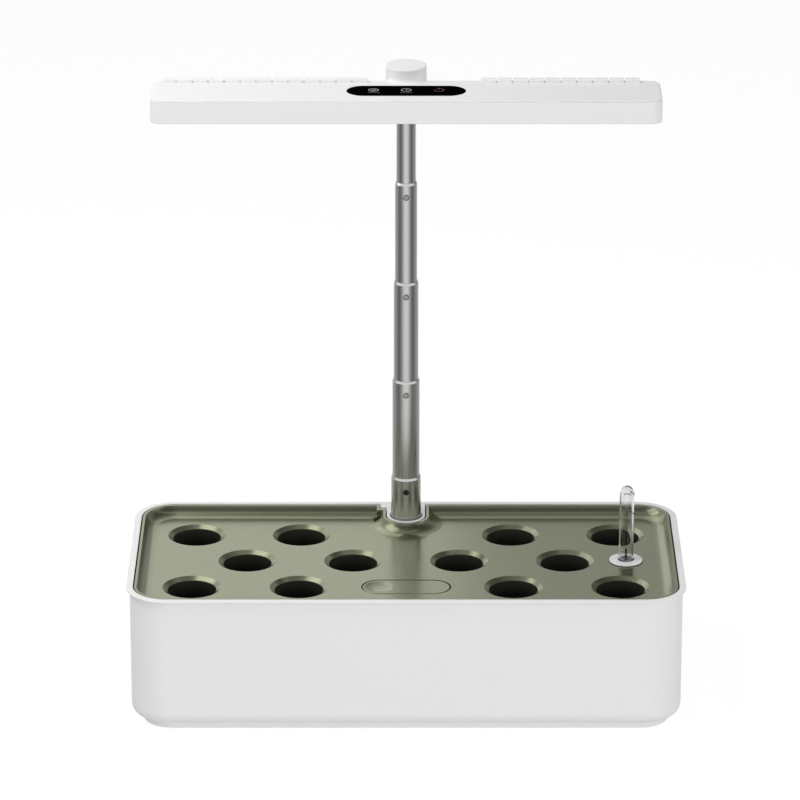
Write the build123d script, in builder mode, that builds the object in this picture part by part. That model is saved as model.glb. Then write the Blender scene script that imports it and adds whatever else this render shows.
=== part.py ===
from build123d import *

import os
from math import atan, cos, degrees, radians, sin, sqrt, tan

# Countertop hydroponic garden: a water tank with a lift-out planting deck, and a grow lamp
# on a five-piece telescopic mast.
# Millimetres.  Origin on the table, under the middle of the tank.  +X right, +Y back, +Z up.

# ---------------------------------------------------------------- driving dimensions
# Tank
tank_w = 370.0          # over the lip
tank_d = 179.0
rim_z = 96.0            # top of the rim above the table
lip_corner_r = 27.5     # plan radius of the lip's corners
lip_out = 2.2           # the lip stands this far out of the wall
lip_h = 1.3
lip_edge_r = 0.5
tank_wall = 2.1
floor_t = 2.4
foot_fillet = 8.0       # the wall rolls in to the plinth
inner_fillet = 5.5
ledge_w = 3.9           # step inside the wall that carries the deck
ledge_h = 2.0

# Plinth
plinth_inset = 8.0      # from the wall to the plinth's side
plinth_h = 5.0
plinth_wall = 2.2
plinth_floor_t = 1.8
foot_d = 13.0
foot_stand = 1.0        # the rubber feet hold the plinth off the table
foot_pocket = 0.8
foot_step_x = 300.0
foot_step_y = 110.0
cover_screw_step_x = 210.0
cover_screw_step_y = 128.0
cover_boss_d = 8.0
cover_boss_h = 9.0
plinth_rib_t = 1.6
plinth_rib_pitch_x = 80.0
plinth_rib_pitch_y = 35.0

# Deck
deck_gap = 1.0          # open joint between the rim and the deck
deck_shell = 2.2
deck_bead = 1.6
deck_drop = 0.3         # the bead's top lies this far under the rim
pan_depth = 6.5         # from the rim's top to the deck's floor
pan_slope = 30.0        # the pan's side leans in, then rolls into the floor
pan_roll_r = 10.0
skirt_depth = 12.0      # from the rim's top to the skirt's foot
seat_gap = 0.3
lead_slot_w = 5.0       # the pump lead's way through the deck, beside the mast
lead_slot_d = 6.5
lead_slot_x = -19.6
lead_slot_y = 70.0

# Pod holes
pod_d = 32.4
pod_mouth_d = 39.0
collar_wall = 2.05
collar_h = 14.0
pod_pitch_x = 71.1
pod_pitch_y = 46.0
pod_mid_y = -2.0

# Filler flap
flap_l = 58.0
flap_w = 23.0
flap_t = 2.2
flap_gap = 0.9
flap_pin_d = 2.0
flap_pin_x = -11.0      # left of the flap's middle, so that it falls shut
flap_pin_drop = 4.0     # pin axis under the flap's top
flap_barrel_d = 4.6
flap_lug_t = 2.4
flap_rest_l = 2.4
flap_rest_w = 8.0
flap_rest_t = 1.4
pin_play = 0.06
flap_dimple_d = 19.0
flap_dimple_depth = 1.3
flap_dimple_x = -18.5

# Water gauge
gauge_side = 32.0       # from the deck's right side
gauge_flange_d = 22.5
gauge_flange_t = 1.2
gauge_neck_d = 16.6
gauge_cage_wall = 1.1
gauge_cage_floor = 1.2
gauge_tube_d = 10.0
gauge_tube_wall = 0.9
gauge_tube_top = 47.6   # dome top above the rim
gauge_seat_depth = 2.2
stem_d = 1.6
stem_show = 8.5         # stem above the deck's floor when the tank is empty
float_h = 16.0
float_gap = 0.4
float_travel = 42.0     # from the cage's floor up to its roof
gauge_slot_w = 4.0
gauge_slot_foot = 2.0
gauge_slot_roof = 10.0

# Mast
mast_y = 64.1
mast_d = 20.4           # outermost tube
mast_tubes = 5
mast_wall = 0.8
mast_fit = 0.1          # radial play between neighbouring tubes
mast_stand = 30.0       # first rim above the tank's rim
mast_pitch = 70.0       # rim to rim, drawn out
mast_neck_h = 1.5       # each rim is rolled in
mast_neck_in = 0.5
mast_foot_z = 22.0
mast_overlap = 17.4     # how far a drawn-out tube stays in the one below
button_drop = 9.4       # snap button under the rim
button_d = 4.0
button_hole_gap = 0.1
button_proud = 0.9
button_flange_d = 5.2
button_flange_t = 0.8
clip_w = 3.6
clip_t = 0.4
clip_leg = 5.0

# Mast column in the tank
column_r = 13.0
bush_wall = 0.9
bush_h = 30.0
bush_proud = 0.8
plug_h = 12.0
shoulder_w = 4.4        # small step of the rim beside the column
shoulder_d = 6.8
shoulder_h = 9.0

# Lamp
lamp_w = 335.0
lamp_d = 48.0
lamp_h = 15.5
lamp_top = 312.0        # above the tank's rim
lamp_y = 33.7
lamp_corner_r = 6.3
lamp_lid_t = 2.4
lamp_lid_edge = 0.6     # the lid's edge shows this much above the casing
lamp_lid_in = 0.8       # and stands this far inside its face
lamp_wall = 2.0
lamp_seam = 0.1
lamp_post_d = 7.0
lamp_post_end = 10.5    # screw posts, in from the lamp's ends and long sides
lamp_post_side = 10.0
lamp_screw_sink = 2.1   # the screw heads sit this deep in the casing
boss_r = 13.65
boss_top = 321.0        # above the tank's rim
boss_foot = 290.0
boss_wall = 2.2
boss_edge_r = 0.8
boss_flare_r = 2.0
boss_ring_gap = 0.25    # the casing stays this far off the boss
set_screw_d = 3.0
set_screw_z = 400.0
vent_pitch = 10.55
vent_slot = 0.8
vent_h = 2.4
vent_d = 4.8
vent_end = 5.5          # first vent, in from the lamp's left end
vent_boss_gap = 10.0
vent_panel_gap = 10.25  # first vent of the right row, past the touch panel's end
vent_edge = 0.3
vent_edge_r = 1.0
vent_wall = 0.9
cable_window_w = 6.0    # the cable's way from the boss into the lamp
cable_window_h = 5.0
panel_l = 78.5
panel_w = 23.0
panel_t = 1.2
panel_gap = 0.1
icon_pitch = 21.5       # the three lit keys under the panel
diffuser_end = 18.5     # from the lamp's ends and long sides to the light window
diffuser_side = 11.0
diffuser_gap = 0.2
diffuser_corner_r = 2.0
diffuser_flange = 1.2
diffuser_flange_t = 1.2
led_gap = 6.0           # from the diffuser to the board
led_board_end = 3.0     # the light board is this much shorter than the window, each end
led_board_over = 0.5    # and this much wider, each side
led_board_t = 1.2
led_rows = 4
led_cols = 18
led_size = 3.0
led_t = 0.7
rib_t = 2.0
rib_mid_x = 50.0        # ribs that hang the light board, about the touch panel's board
rib_end = 26.0
touch_board_l = 70.0
touch_board_w = 18.0
touch_board_t = 1.0

# Pump
pump_x = -92.0
pump_y = 0.0
pump_w = 42.0
pump_d = 30.0
pump_h = 27.0
pump_wall = 2.0
pump_foot_h = 4.0
pump_edge_r = 3.0
impeller_d = 14.0
impeller_play = 0.6
rotor_d = 9.0
rotor_l = 13.0
blade_l = 5.0
shaft_d = 2.0
nozzle_d = 10.0
nozzle_bore_d = 7.0
nozzle_h = 8.0
intake_l = 8.0          # sponge chamber behind the slotted cover
pump_cover_t = 2.4
cover_rim_t = 3.0
cover_rim_h = 2.0
cup_d = 9.0
cup_neck_d = 4.0
cup_neck_h = 1.6

# Power inlet
chamber_w = 30.0        # dry chamber beside the column
chamber_d = 21.0
chamber_h = 42.0
chamber_wall = 2.0
jack_d = 8.0
jack_body_l = 11.0
jack_bore_d = 5.5
jack_bore_depth = 9.0
jack_pin_d = 2.0
jack_flange_d = 10.6
jack_flange_t = 1.2
jack_z = 28.0
board_w = 24.0
board_h = 30.0
board_t = 1.6
board_stand = 2.0
board_peg_d = 2.0
board_peg_step = 16.0

# Fits
fit = 0.05              # play of pieces that are pushed or screwed together
m3_d = 2.6
m3_head_d = 5.6
m3_head_h = 1.9
m4_d = 3.4
m4_head_d = 8.0
m4_head_h = 2.8

# ---------------------------------------------------------------- derived places
wall_w = tank_w - 2 * lip_out
wall_d = tank_d - 2 * lip_out
wall_r = lip_corner_r - lip_out
tank_foot_z = foot_stand + plinth_h
floor_z = tank_foot_z + floor_t
inner_w = wall_w - 2 * tank_wall
inner_d = wall_d - 2 * tank_wall
inner_r = wall_r - tank_wall

deck_w = inner_w - 2 * deck_gap
deck_d = inner_d - 2 * deck_gap
deck_r = inner_r - deck_gap
deck_top_z = rim_z - deck_drop
deck_floor_z = rim_z - pan_depth
deck_under_z = deck_floor_z - deck_shell
skirt_z = rim_z - skirt_depth
ledge_z = skirt_z - seat_gap
collar_d = pod_d + 2 * collar_wall

pod_rows = [
    (pod_mid_y - pod_pitch_y, [-2, -1, 1, 2]),
    (pod_mid_y, [-1.5, -0.5, 0.5, 1.5]),
    (pod_mid_y + pod_pitch_y, [-2, -1, 1, 2]),
]
pod_points = [(column * pod_pitch_x, y) for y, columns in pod_rows for column in columns]
flap_y = pod_mid_y - pod_pitch_y
gauge_y = pod_mid_y
gauge_x = deck_w / 2 - gauge_side

tube_ods = [mast_d - 2 * (mast_wall + mast_fit) * i for i in range(mast_tubes)]
rim_zs = [rim_z + mast_stand + mast_pitch * i for i in range(mast_tubes - 1)]
lamp_top_z = rim_z + lamp_top
lamp_foot_z = lamp_top_z - lamp_h
boss_top_z = rim_z + boss_top
boss_foot_z = rim_z + boss_foot
tube_tops = rim_zs + [boss_top_z - 2 * boss_wall]
tube_feet = [mast_foot_z] + [z - mast_overlap for z in rim_zs]
button_zs = [z - button_drop for z in rim_zs]

os.makedirs("parts", exist_ok=True)


# ---------------------------------------------------------------- shared outlines
def corners(step_x, step_y, z):
    """Four points of a rectangle about the Z axis, at height z."""
    return [(x * step_x / 2, y * step_y / 2, z) for x in (-1, 1) for y in (-1, 1)]


def column_outline(radius, back_y):
    """U-shaped plan of the mast column: round in front, straight back to back_y."""
    with Locations((0, mast_y)):
        Circle(radius)
    length = back_y - mast_y
    with Locations((0, mast_y + length / 2)):
        Rectangle(2 * radius, length)


def finish(part, name):
    """Label a finished piece and write its STEP file."""
    part.label = name
    export_step(part, f"parts/{name}.step")


UP = (Align.CENTER, Align.CENTER, Align.MIN)
DOWN = (Align.CENTER, Align.CENTER, Align.MAX)

# ---------------------------------------------------------------- tank
plinth_w = wall_w - 2 * plinth_inset
plinth_d = wall_d - 2 * plinth_inset
plinth_r = wall_r - plinth_inset + 2.2
column_back = wall_d / 2 - tank_wall
bush_od = mast_d + 2 * (bush_wall + fit)
socket_floor_z = mast_foot_z - fit
screw_seat_z = socket_floor_z - 5.0
chamber_x0 = column_r + 0.4
chamber_x = chamber_x0 + chamber_w / 2
chamber_y0 = column_back - chamber_d
board_pegs = [Location((chamber_x + x * board_peg_step / 2, chamber_y0, jack_z), (-90, 0, 0))
              for x in (-1, 1)]
cover_screw_points = corners(cover_screw_step_x, cover_screw_step_y, tank_foot_z)

with BuildPart() as water_space:
    with BuildSketch(Plane.XY.offset(floor_z)):
        RectangleRounded(inner_w, inner_d, inner_r)
    extrude(amount=rim_z - floor_z)
    fillet(water_space.faces().sort_by(Axis.Z)[0].edges(), inner_fillet)

with BuildPart() as lip:
    with BuildSketch(Plane.XY.offset(rim_z - lip_h)):
        RectangleRounded(tank_w, tank_d, lip_corner_r)
    extrude(amount=lip_h)
    fillet(lip.faces().sort_by(Axis.Z)[-1].edges(), lip_edge_r)
    fillet(lip.faces().sort_by(Axis.Z)[0].edges(), lip_edge_r)

with BuildPart() as outer_form:
    with BuildSketch(Plane.XY.offset(tank_foot_z)):
        RectangleRounded(wall_w, wall_d, wall_r)
    extrude(amount=rim_z - tank_foot_z)
    fillet(outer_form.faces().sort_by(Axis.Z)[0].edges(), foot_fillet)

with BuildPart() as inner_forms:
    # mast column and the step of the rim beside it
    with BuildSketch(Plane.XY.offset(tank_foot_z)):
        column_outline(column_r, wall_d / 2)
    extrude(amount=rim_z - tank_foot_z)
    with Locations((-column_r, column_back, rim_z)):
        Box(2 * shoulder_w, shoulder_d, shoulder_h, align=(Align.CENTER, Align.MAX, Align.MAX))
    # dry chamber for the power inlet, beside the column
    with Locations((chamber_x, wall_d / 2, tank_foot_z)):
        Box(chamber_w + 2 * chamber_wall, chamber_d + chamber_wall + tank_wall,
            chamber_h + chamber_wall, align=(Align.CENTER, Align.MAX, Align.MIN))
    add(outer_form.part, mode=Mode.INTERSECT)

with BuildPart() as tank:
    add(outer_form.part)
    add(lip.part)
    add(water_space.part, mode=Mode.SUBTRACT)
    add(inner_forms.part)
    # ledge that carries the deck
    with BuildSketch(Plane.XY.offset(ledge_z - ledge_h)):
        RectangleRounded(inner_w + tank_wall, inner_d + tank_wall, inner_r + tank_wall / 2)
        RectangleRounded(inner_w - 2 * ledge_w, inner_d - 2 * ledge_w, inner_r - ledge_w,
                         mode=Mode.SUBTRACT)
    extrude(amount=ledge_h)
    # blind bosses for the screws that hold the plinth
    with Locations(*cover_screw_points):
        Cylinder(cover_boss_d / 2, floor_t + cover_boss_h, align=UP)
    with Locations(*cover_screw_points):
        Cylinder(m3_d / 2 + fit, cover_boss_h, align=UP, mode=Mode.SUBTRACT)
    # inside of the chamber, open downwards into the plinth
    with Locations((chamber_x, column_back, jack_z)):
        Box(chamber_w, chamber_d, tank_foot_z + chamber_h - jack_z,
            align=(Align.CENTER, Align.MAX, Align.MIN), mode=Mode.SUBTRACT)
        Box(chamber_w, chamber_d, jack_body_l, align=(Align.CENTER, Align.MAX, Align.MAX),
            mode=Mode.SUBTRACT)
    with Locations((chamber_x, chamber_y0, tank_foot_z)):
        Box(chamber_w, plinth_d / 2 - plinth_wall - chamber_y0, chamber_h,
            align=(Align.CENTER, Align.MIN, Align.MIN), mode=Mode.SUBTRACT)
    with Locations(Location((chamber_x, wall_d / 2, jack_z), (90, 0, 0))):
        Cylinder(jack_d / 2 + fit, 4 * tank_wall, mode=Mode.SUBTRACT)
    # bosses with pegs for the driver board
    with Locations(*board_pegs):
        Cylinder(board_peg_d, board_stand, align=UP)
        Cylinder(board_peg_d / 2, board_stand + board_t + 0.8, align=UP)
    # bore of the mast, its screw and the lead's way down
    with Locations((0, mast_y, socket_floor_z)):
        Cylinder(mast_d / 2 + fit, rim_z, align=UP, mode=Mode.SUBTRACT)
    with Locations((0, mast_y, rim_z - bush_h)):
        Cylinder(bush_od / 2, bush_h, align=UP, mode=Mode.SUBTRACT)
    with Locations((0, mast_y, tank_foot_z)):
        Cylinder(m4_head_d / 2 + 1.5, screw_seat_z - tank_foot_z, align=UP, mode=Mode.SUBTRACT)
        Cylinder(m4_d / 2 + 0.3, rim_z / 2, align=UP, mode=Mode.SUBTRACT)

# ---------------------------------------------------------------- plinth
with BuildPart() as base_cover:
    with BuildSketch(Plane.XY.offset(foot_stand)):
        RectangleRounded(plinth_w, plinth_d, plinth_r)
    extrude(amount=plinth_h - fit)
    fillet(base_cover.faces().sort_by(Axis.Z)[0].edges(), 1.2)
    with BuildSketch(Plane.XY.offset(foot_stand + plinth_floor_t)):
        RectangleRounded(plinth_w - 2 * plinth_wall, plinth_d - 2 * plinth_wall,
                         plinth_r - plinth_wall)
    extrude(amount=plinth_h, mode=Mode.SUBTRACT)
    # screw pillars, foot seats and stiffening ribs
    with Locations(*corners(cover_screw_step_x, cover_screw_step_y, foot_stand)):
        Cylinder(cover_boss_d / 2, plinth_h - fit, align=UP)
    with Locations(*corners(foot_step_x, foot_step_y, foot_stand)):
        Cylinder(foot_d / 2 + plinth_wall, plinth_floor_t + foot_pocket, align=UP)
    with BuildSketch(Plane.XY.offset(foot_stand)):
        with Locations(*[(0, y * plinth_rib_pitch_y) for y in (-1, 0, 1)]):
            Rectangle(plinth_w - plinth_wall, plinth_rib_t)
        with Locations(*[(x * plinth_rib_pitch_x, 0) for x in (-1, 0, 1)]):
            Rectangle(plinth_rib_t, plinth_d - plinth_wall)
    extrude(amount=plinth_h - 1.2)
    with Locations(*corners(foot_step_x, foot_step_y, foot_stand)):
        Cylinder(foot_d / 2 + fit, foot_pocket, align=UP, mode=Mode.SUBTRACT)
    with Locations(*corners(cover_screw_step_x, cover_screw_step_y, foot_stand)):
        Cylinder(m3_head_d / 2 + 0.2, m3_head_h + 0.2, align=UP, mode=Mode.SUBTRACT)
        Cylinder(m3_d / 2 + 0.2, 2 * plinth_h, align=UP, mode=Mode.SUBTRACT)

with BuildPart() as rubber_feet:
    with Locations(*corners(foot_step_x, foot_step_y, 0)):
        Cylinder(foot_d / 2, foot_stand + foot_pocket - fit, align=UP)
    fillet(rubber_feet.edges().group_by(Axis.Z)[0], 0.5)

with BuildPart() as base_screws:
    with Locations(*corners(cover_screw_step_x, cover_screw_step_y, foot_stand + 0.2 - fit)):
        Cylinder(m3_head_d / 2, m3_head_h, align=UP)
        Cylinder(m3_d / 2, plinth_h + cover_boss_h - 2.0, align=UP)
        Cylinder(0.9, 0.9, align=UP, mode=Mode.SUBTRACT)

# ---------------------------------------------------------------- mast
mast_axis = Axis((0, mast_y, 0), (0, 0, 1))

with BuildPart() as mast_bush:
    with Locations((0, mast_y, rim_z - bush_h + fit)):
        Cylinder(bush_od / 2 - fit, bush_h + bush_proud, align=UP)
        Cylinder(mast_d / 2 + fit, bush_h + bush_proud, align=UP, mode=Mode.SUBTRACT)
    chamfer(mast_bush.edges().group_by(Axis.Z)[-1].sort_by(SortBy.RADIUS)[-1], 0.3)

with BuildPart() as mast_plug:
    with Locations((0, mast_y, mast_foot_z)):
        Cylinder(mast_d / 2 - mast_wall - fit, plug_h, align=UP)
    chamfer(mast_plug.edges().group_by(Axis.Z)[-1], 1.0)
    with Locations((0, mast_y, mast_foot_z)):
        Cylinder(m4_d / 2 + fit, plug_h, align=UP, mode=Mode.SUBTRACT)

with BuildPart() as mast_screw:
    with Locations((0, mast_y, screw_seat_z)):
        Cylinder(m4_head_d / 2, m4_head_h, align=DOWN)
        Cylinder(m4_d / 2, socket_floor_z - screw_seat_z + plug_h - 1.0, align=UP)
    with BuildSketch(Plane.XY.offset(screw_seat_z - m4_head_h)):
        with Locations((0, mast_y)):
            RegularPolygon(1.5, 6)
    extrude(amount=1.6, mode=Mode.SUBTRACT)


def inner_radius(number):
    """Bore radius of a mast tube, counted from 0 at the tank."""
    return tube_ods[number] / 2 - mast_wall


def make_tube(number):
    """One mast tube: rolled-in rim, and a button hole near its rim, its foot, or both."""
    radius = tube_ods[number] / 2
    foot, top = tube_feet[number], tube_tops[number]
    holes = button_zs[max(number - 1, 0):number + 1]
    with BuildPart() as tube:
        with Locations((0, mast_y, foot)):
            Cylinder(radius, top - foot, align=UP)
        if number < mast_tubes - 1:
            chamfer(tube.edges().group_by(Axis.Z)[-1], mast_neck_h, mast_neck_in)
        with Locations((0, mast_y, foot)):
            Cylinder(radius - mast_wall, top - foot, align=UP, mode=Mode.SUBTRACT)
        with Locations(*[Location((0, mast_y, z), (90, 0, 0)) for z in holes]):
            Cylinder(button_d / 2 + button_hole_gap, radius + mast_wall, align=UP,
                     mode=Mode.SUBTRACT)
    return tube.part


def flange_face(number):
    """How far in front of the mast's axis a snap button's flange meets its tube."""
    return sqrt(inner_radius(number) ** 2 - (button_flange_d / 2) ** 2) - fit


def make_button(number):
    """Snap button of a mast tube: a domed pin that stands out through two walls."""
    reach = tube_ods[number - 1] / 2 + button_proud
    face = flange_face(number)
    with BuildPart() as button:
        with Locations(Location((0, mast_y, button_zs[number - 1]), (90, 0, 0))):
            Cylinder(button_d / 2, reach, align=UP)
        fillet(button.edges().group_by(Axis.Y)[0], 0.8)
        with Locations(Location((0, mast_y, button_zs[number - 1]), (90, 0, 0))):
            Cylinder(button_flange_d / 2, face, align=UP)
            Cylinder(button_flange_d, face - button_flange_t, align=UP, mode=Mode.SUBTRACT)
    return button.part


def make_clip(number):
    """U-shaped leaf spring behind a snap button, braced on the tube's far side."""
    front = flange_face(number) - button_flange_t - fit
    back = sqrt(inner_radius(number) ** 2 - (clip_w / 2) ** 2) - fit
    bend = (front + back) / 2
    z = button_zs[number - 1]
    with BuildPart() as clip:
        with BuildSketch(Plane.YZ.offset(-clip_w / 2)):
            with BuildLine():
                Polyline((mast_y - front, z), (mast_y - front, z + clip_leg),
                         (mast_y - front + clip_t, z + clip_leg), (mast_y - front + clip_t, z))
                ThreePointArc((mast_y - front + clip_t, z),
                              (mast_y + (back - front) / 2, z - bend + clip_t),
                              (mast_y + back - clip_t, z))
                Polyline((mast_y + back - clip_t, z), (mast_y + back - clip_t, z + clip_leg),
                         (mast_y + back, z + clip_leg), (mast_y + back, z))
                ThreePointArc((mast_y + back, z), (mast_y + (back - front) / 2, z - bend),
                              (mast_y - front, z))
            make_face()
        extrude(amount=clip_w)
    return clip.part


# ---------------------------------------------------------------- deck
notch_r = column_r + deck_gap
pillar_r = notch_r + deck_bead
pan_top = deck_top_z - deck_floor_z
roll_run = pan_roll_r * tan(radians(90 - pan_slope) / 2)      # from the sharp corner to the roll


def pan_hollow(grow):
    """The pan as a solid: sides lean in and roll into the floor; grow thickens it all round."""
    out = grow / cos(radians(pan_slope))
    with BuildPart() as pan:
        with BuildSketch(Plane((0, 0, deck_top_z), z_dir=(0, 0, -1))):
            RectangleRounded(deck_w - 2 * deck_bead + 2 * out, deck_d - 2 * deck_bead + 2 * out,
                             deck_r - deck_bead + out)
        extrude(amount=pan_top + grow, taper=pan_slope)
        fillet(pan.faces().sort_by(Axis.Z)[0].edges(), pan_roll_r + grow)
    return pan.part


def pillar_profile(radius):
    """Half section of the deck's wall round the mast column, out to the end of its roll."""
    corner = radius + pan_top * tan(radians(pan_slope))
    lean, rise = sin(radians(pan_slope)), cos(radians(pan_slope))
    roll_start = (corner - roll_run * lean, deck_floor_z + roll_run * rise)
    roll_end = (corner + roll_run, deck_floor_z)
    with BuildLine() as side:
        Polyline((corner + roll_run, deck_floor_z), (corner + roll_run, deck_floor_z - deck_shell),
                 (0, deck_floor_z - deck_shell), (0, deck_top_z), (radius, deck_top_z), roll_start)
        TangentArc(roll_start, roll_end, tangent=(lean, -rise))
    make_face(side.edges())


with BuildPart() as pillar:
    with BuildSketch(Plane((0, mast_y, 0), x_dir=(1, 0, 0), z_dir=(0, -1, 0))):
        pillar_profile(pillar_r)
    revolve(axis=mast_axis)
    with BuildSketch(Plane((0, mast_y, 0), x_dir=(1, 0, 0), z_dir=(0, -1, 0))):
        pillar_profile(pillar_r)
        mirror(about=Plane.YZ)
    extrude(amount=-(deck_d / 2 - mast_y))
    # the bead goes round the step of the rim
    with Locations((-notch_r, deck_d / 2, deck_top_z)):
        Box(2 * (shoulder_w + deck_bead), shoulder_d + 2 * deck_bead, pan_top + deck_shell,
            align=(Align.CENTER, Align.MAX, Align.MAX))

with BuildPart() as pan_cut:
    add(pan_hollow(0))
    add(pillar.part, mode=Mode.SUBTRACT)

with BuildPart() as under_cut:
    with BuildSketch(Plane.XY.offset(skirt_z)):
        RectangleRounded(deck_w - 2 * deck_shell, deck_d - 2 * deck_shell, deck_r - deck_shell)
    extrude(amount=deck_top_z - skirt_z)
    add(pan_hollow(deck_shell), mode=Mode.SUBTRACT)
    with BuildSketch(Plane.XY.offset(skirt_z)):
        column_outline(pillar_r, deck_d / 2)
        with Locations((-pillar_r, deck_d / 2)):
            Rectangle(2 * shoulder_w + deck_bead, 2 * (shoulder_d + 2 * deck_bead))
    extrude(amount=deck_top_z - skirt_z, mode=Mode.SUBTRACT)

flap_pin_z = deck_floor_z - flap_pin_drop
flap_open_w = flap_w + 2 * flap_gap
flap_open_l = flap_l + 2 * flap_gap
lug_y = flap_open_w / 2 + flap_lug_t / 2
gauge_hole_d = gauge_neck_d + 0.3

with BuildPart() as deck:
    with BuildSketch(Plane.XY.offset(skirt_z)):
        RectangleRounded(deck_w, deck_d, deck_r)
    extrude(amount=deck_top_z - skirt_z)
    add(pan_cut.part, mode=Mode.SUBTRACT)
    add(under_cut.part, mode=Mode.SUBTRACT)
    # way round the mast column and the step of the rim
    with BuildSketch(Plane.XY.offset(skirt_z)):
        column_outline(notch_r, deck_d / 2)
        with Locations((-column_r, column_back)):
            Rectangle(2 * (shoulder_w + deck_gap), 2 * (shoulder_d + deck_gap))
    extrude(amount=deck_top_z - skirt_z, mode=Mode.SUBTRACT)
    with Locations((lead_slot_x, lead_slot_y, deck_top_z)):
        Box(lead_slot_w, lead_slot_d, rim_z, mode=Mode.SUBTRACT)
    # pod collars, with a countersunk mouth
    with Locations(*[(x, y, deck_under_z) for x, y in pod_points]):
        Cylinder(collar_d / 2, collar_h, align=DOWN)
    with Locations(*[(x, y, deck_floor_z) for x, y in pod_points]):
        CounterSinkHole(pod_d / 2, pod_mouth_d / 2, depth=deck_shell + collar_h,
                        counter_sink_angle=2 * degrees(atan((pod_mouth_d - pod_d) / 2 / deck_shell)))
    # filler: opening, lugs for the flap's pin and the rest under its long end
    with Locations(*[(flap_pin_x, flap_y + side * lug_y, deck_under_z) for side in (-1, 1)]):
        Box(2.6 * flap_pin_d, flap_lug_t, flap_pin_drop - deck_shell + flap_pin_d, align=DOWN)
    with BuildSketch(Plane.XY.offset(deck_under_z)):
        with Locations((0, flap_y)):
            SlotOverall(flap_open_l, flap_open_w)
    extrude(amount=deck_shell, mode=Mode.SUBTRACT)
    with Locations((flap_open_l / 2, flap_y, deck_under_z - seat_gap)):
        Box(2 * flap_rest_l, flap_rest_w, flap_rest_t, align=DOWN)
    with Locations((flap_open_l / 2 + flap_rest_l / 2, flap_y, deck_under_z)):
        Box(flap_rest_l, flap_rest_w, seat_gap, align=DOWN)
    with Locations(Location((flap_pin_x, flap_y, flap_pin_z), (90, 0, 0))):
        Cylinder(flap_pin_d / 2 + fit, 2 * (lug_y + flap_lug_t), mode=Mode.SUBTRACT)
    with Locations((gauge_x, gauge_y, deck_floor_z)):
        Cylinder(gauge_hole_d / 2, 4 * deck_shell, mode=Mode.SUBTRACT)

# ---------------------------------------------------------------- filler flap
barrel_l = flap_w - 2.0
with BuildPart() as filler_flap:
    with BuildSketch(Plane.XY.offset(deck_under_z)):
        with Locations((0, flap_y)):
            SlotOverall(flap_l, flap_w)
    extrude(amount=flap_t)
    fillet(filler_flap.faces().sort_by(Axis.Z)[-1].edges(), 0.4)
    # scooped finger dimple
    dimple_r = ((flap_dimple_d / 2) ** 2 + flap_dimple_depth ** 2) / (2 * flap_dimple_depth)
    with Locations((flap_dimple_x, flap_y, deck_floor_z + dimple_r - flap_dimple_depth)):
        Sphere(dimple_r, mode=Mode.SUBTRACT)
    with Locations(Location((flap_pin_x, flap_y, flap_pin_z), (90, 0, 0))):
        Cylinder(flap_barrel_d / 2, barrel_l)
    with Locations((flap_pin_x, flap_y, flap_pin_z)):
        Box(flap_barrel_d * 0.7, barrel_l, flap_pin_drop - flap_t, align=UP)
    with Locations(Location((flap_pin_x, flap_y, flap_pin_z), (90, 0, 0))):
        Cylinder(flap_pin_d / 2 + pin_play, flap_w, mode=Mode.SUBTRACT)

with BuildPart() as flap_pin:
    with Locations(Location((flap_pin_x, flap_y, flap_pin_z), (90, 0, 0))):
        Cylinder(flap_pin_d / 2, 2 * lug_y + flap_lug_t - 0.4)
    chamfer(flap_pin.edges().filter_by(GeomType.CIRCLE), 0.2)

# ---------------------------------------------------------------- water gauge
cage_inner_r = gauge_neck_d / 2 - gauge_cage_wall
seat_top_z = deck_floor_z + gauge_flange_t
seat_foot_z = seat_top_z - gauge_seat_depth
cage_roof_z = seat_foot_z - 1.2
float_top_z = cage_roof_z - seat_gap - float_travel
float_r = cage_inner_r - float_gap
stem_l = deck_floor_z + stem_show - float_top_z
cage_floor_z = float_top_z - float_h - seat_gap
cage_foot_z = cage_floor_z - gauge_cage_floor

with BuildPart() as gauge_body:
    with Locations((gauge_x, gauge_y, deck_floor_z)):
        Cylinder(gauge_flange_d / 2, gauge_flange_t, align=UP)
    fillet(gauge_body.faces().sort_by(Axis.Z)[-1].edges(), 0.6)
    with Locations((gauge_x, gauge_y, cage_foot_z)):
        Cylinder(gauge_neck_d / 2, deck_floor_z - cage_foot_z, align=UP)
        Cylinder(cage_inner_r - 2.0, gauge_cage_floor, align=UP, mode=Mode.SUBTRACT)
    with Locations((gauge_x, gauge_y, cage_floor_z)):
        Cylinder(cage_inner_r, cage_roof_z - cage_floor_z, align=UP, mode=Mode.SUBTRACT)
    # water slots down the cage
    with BuildSketch(Plane.XY.offset(cage_floor_z + gauge_slot_foot)):
        with Locations((gauge_x, gauge_y)):
            Rectangle(2 * gauge_neck_d, gauge_slot_w)
            Rectangle(gauge_slot_w, 2 * gauge_neck_d)
    extrude(amount=cage_roof_z - cage_floor_z - gauge_slot_foot - gauge_slot_roof,
            mode=Mode.SUBTRACT)
    # seat of the clear tube, and the stem's guide
    with Locations((gauge_x, gauge_y, seat_foot_z)):
        Cylinder(gauge_tube_d / 2 + fit, 2 * gauge_seat_depth, align=UP, mode=Mode.SUBTRACT)
        Cylinder(stem_d / 2 + 0.3, gauge_neck_d, mode=Mode.SUBTRACT)

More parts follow.
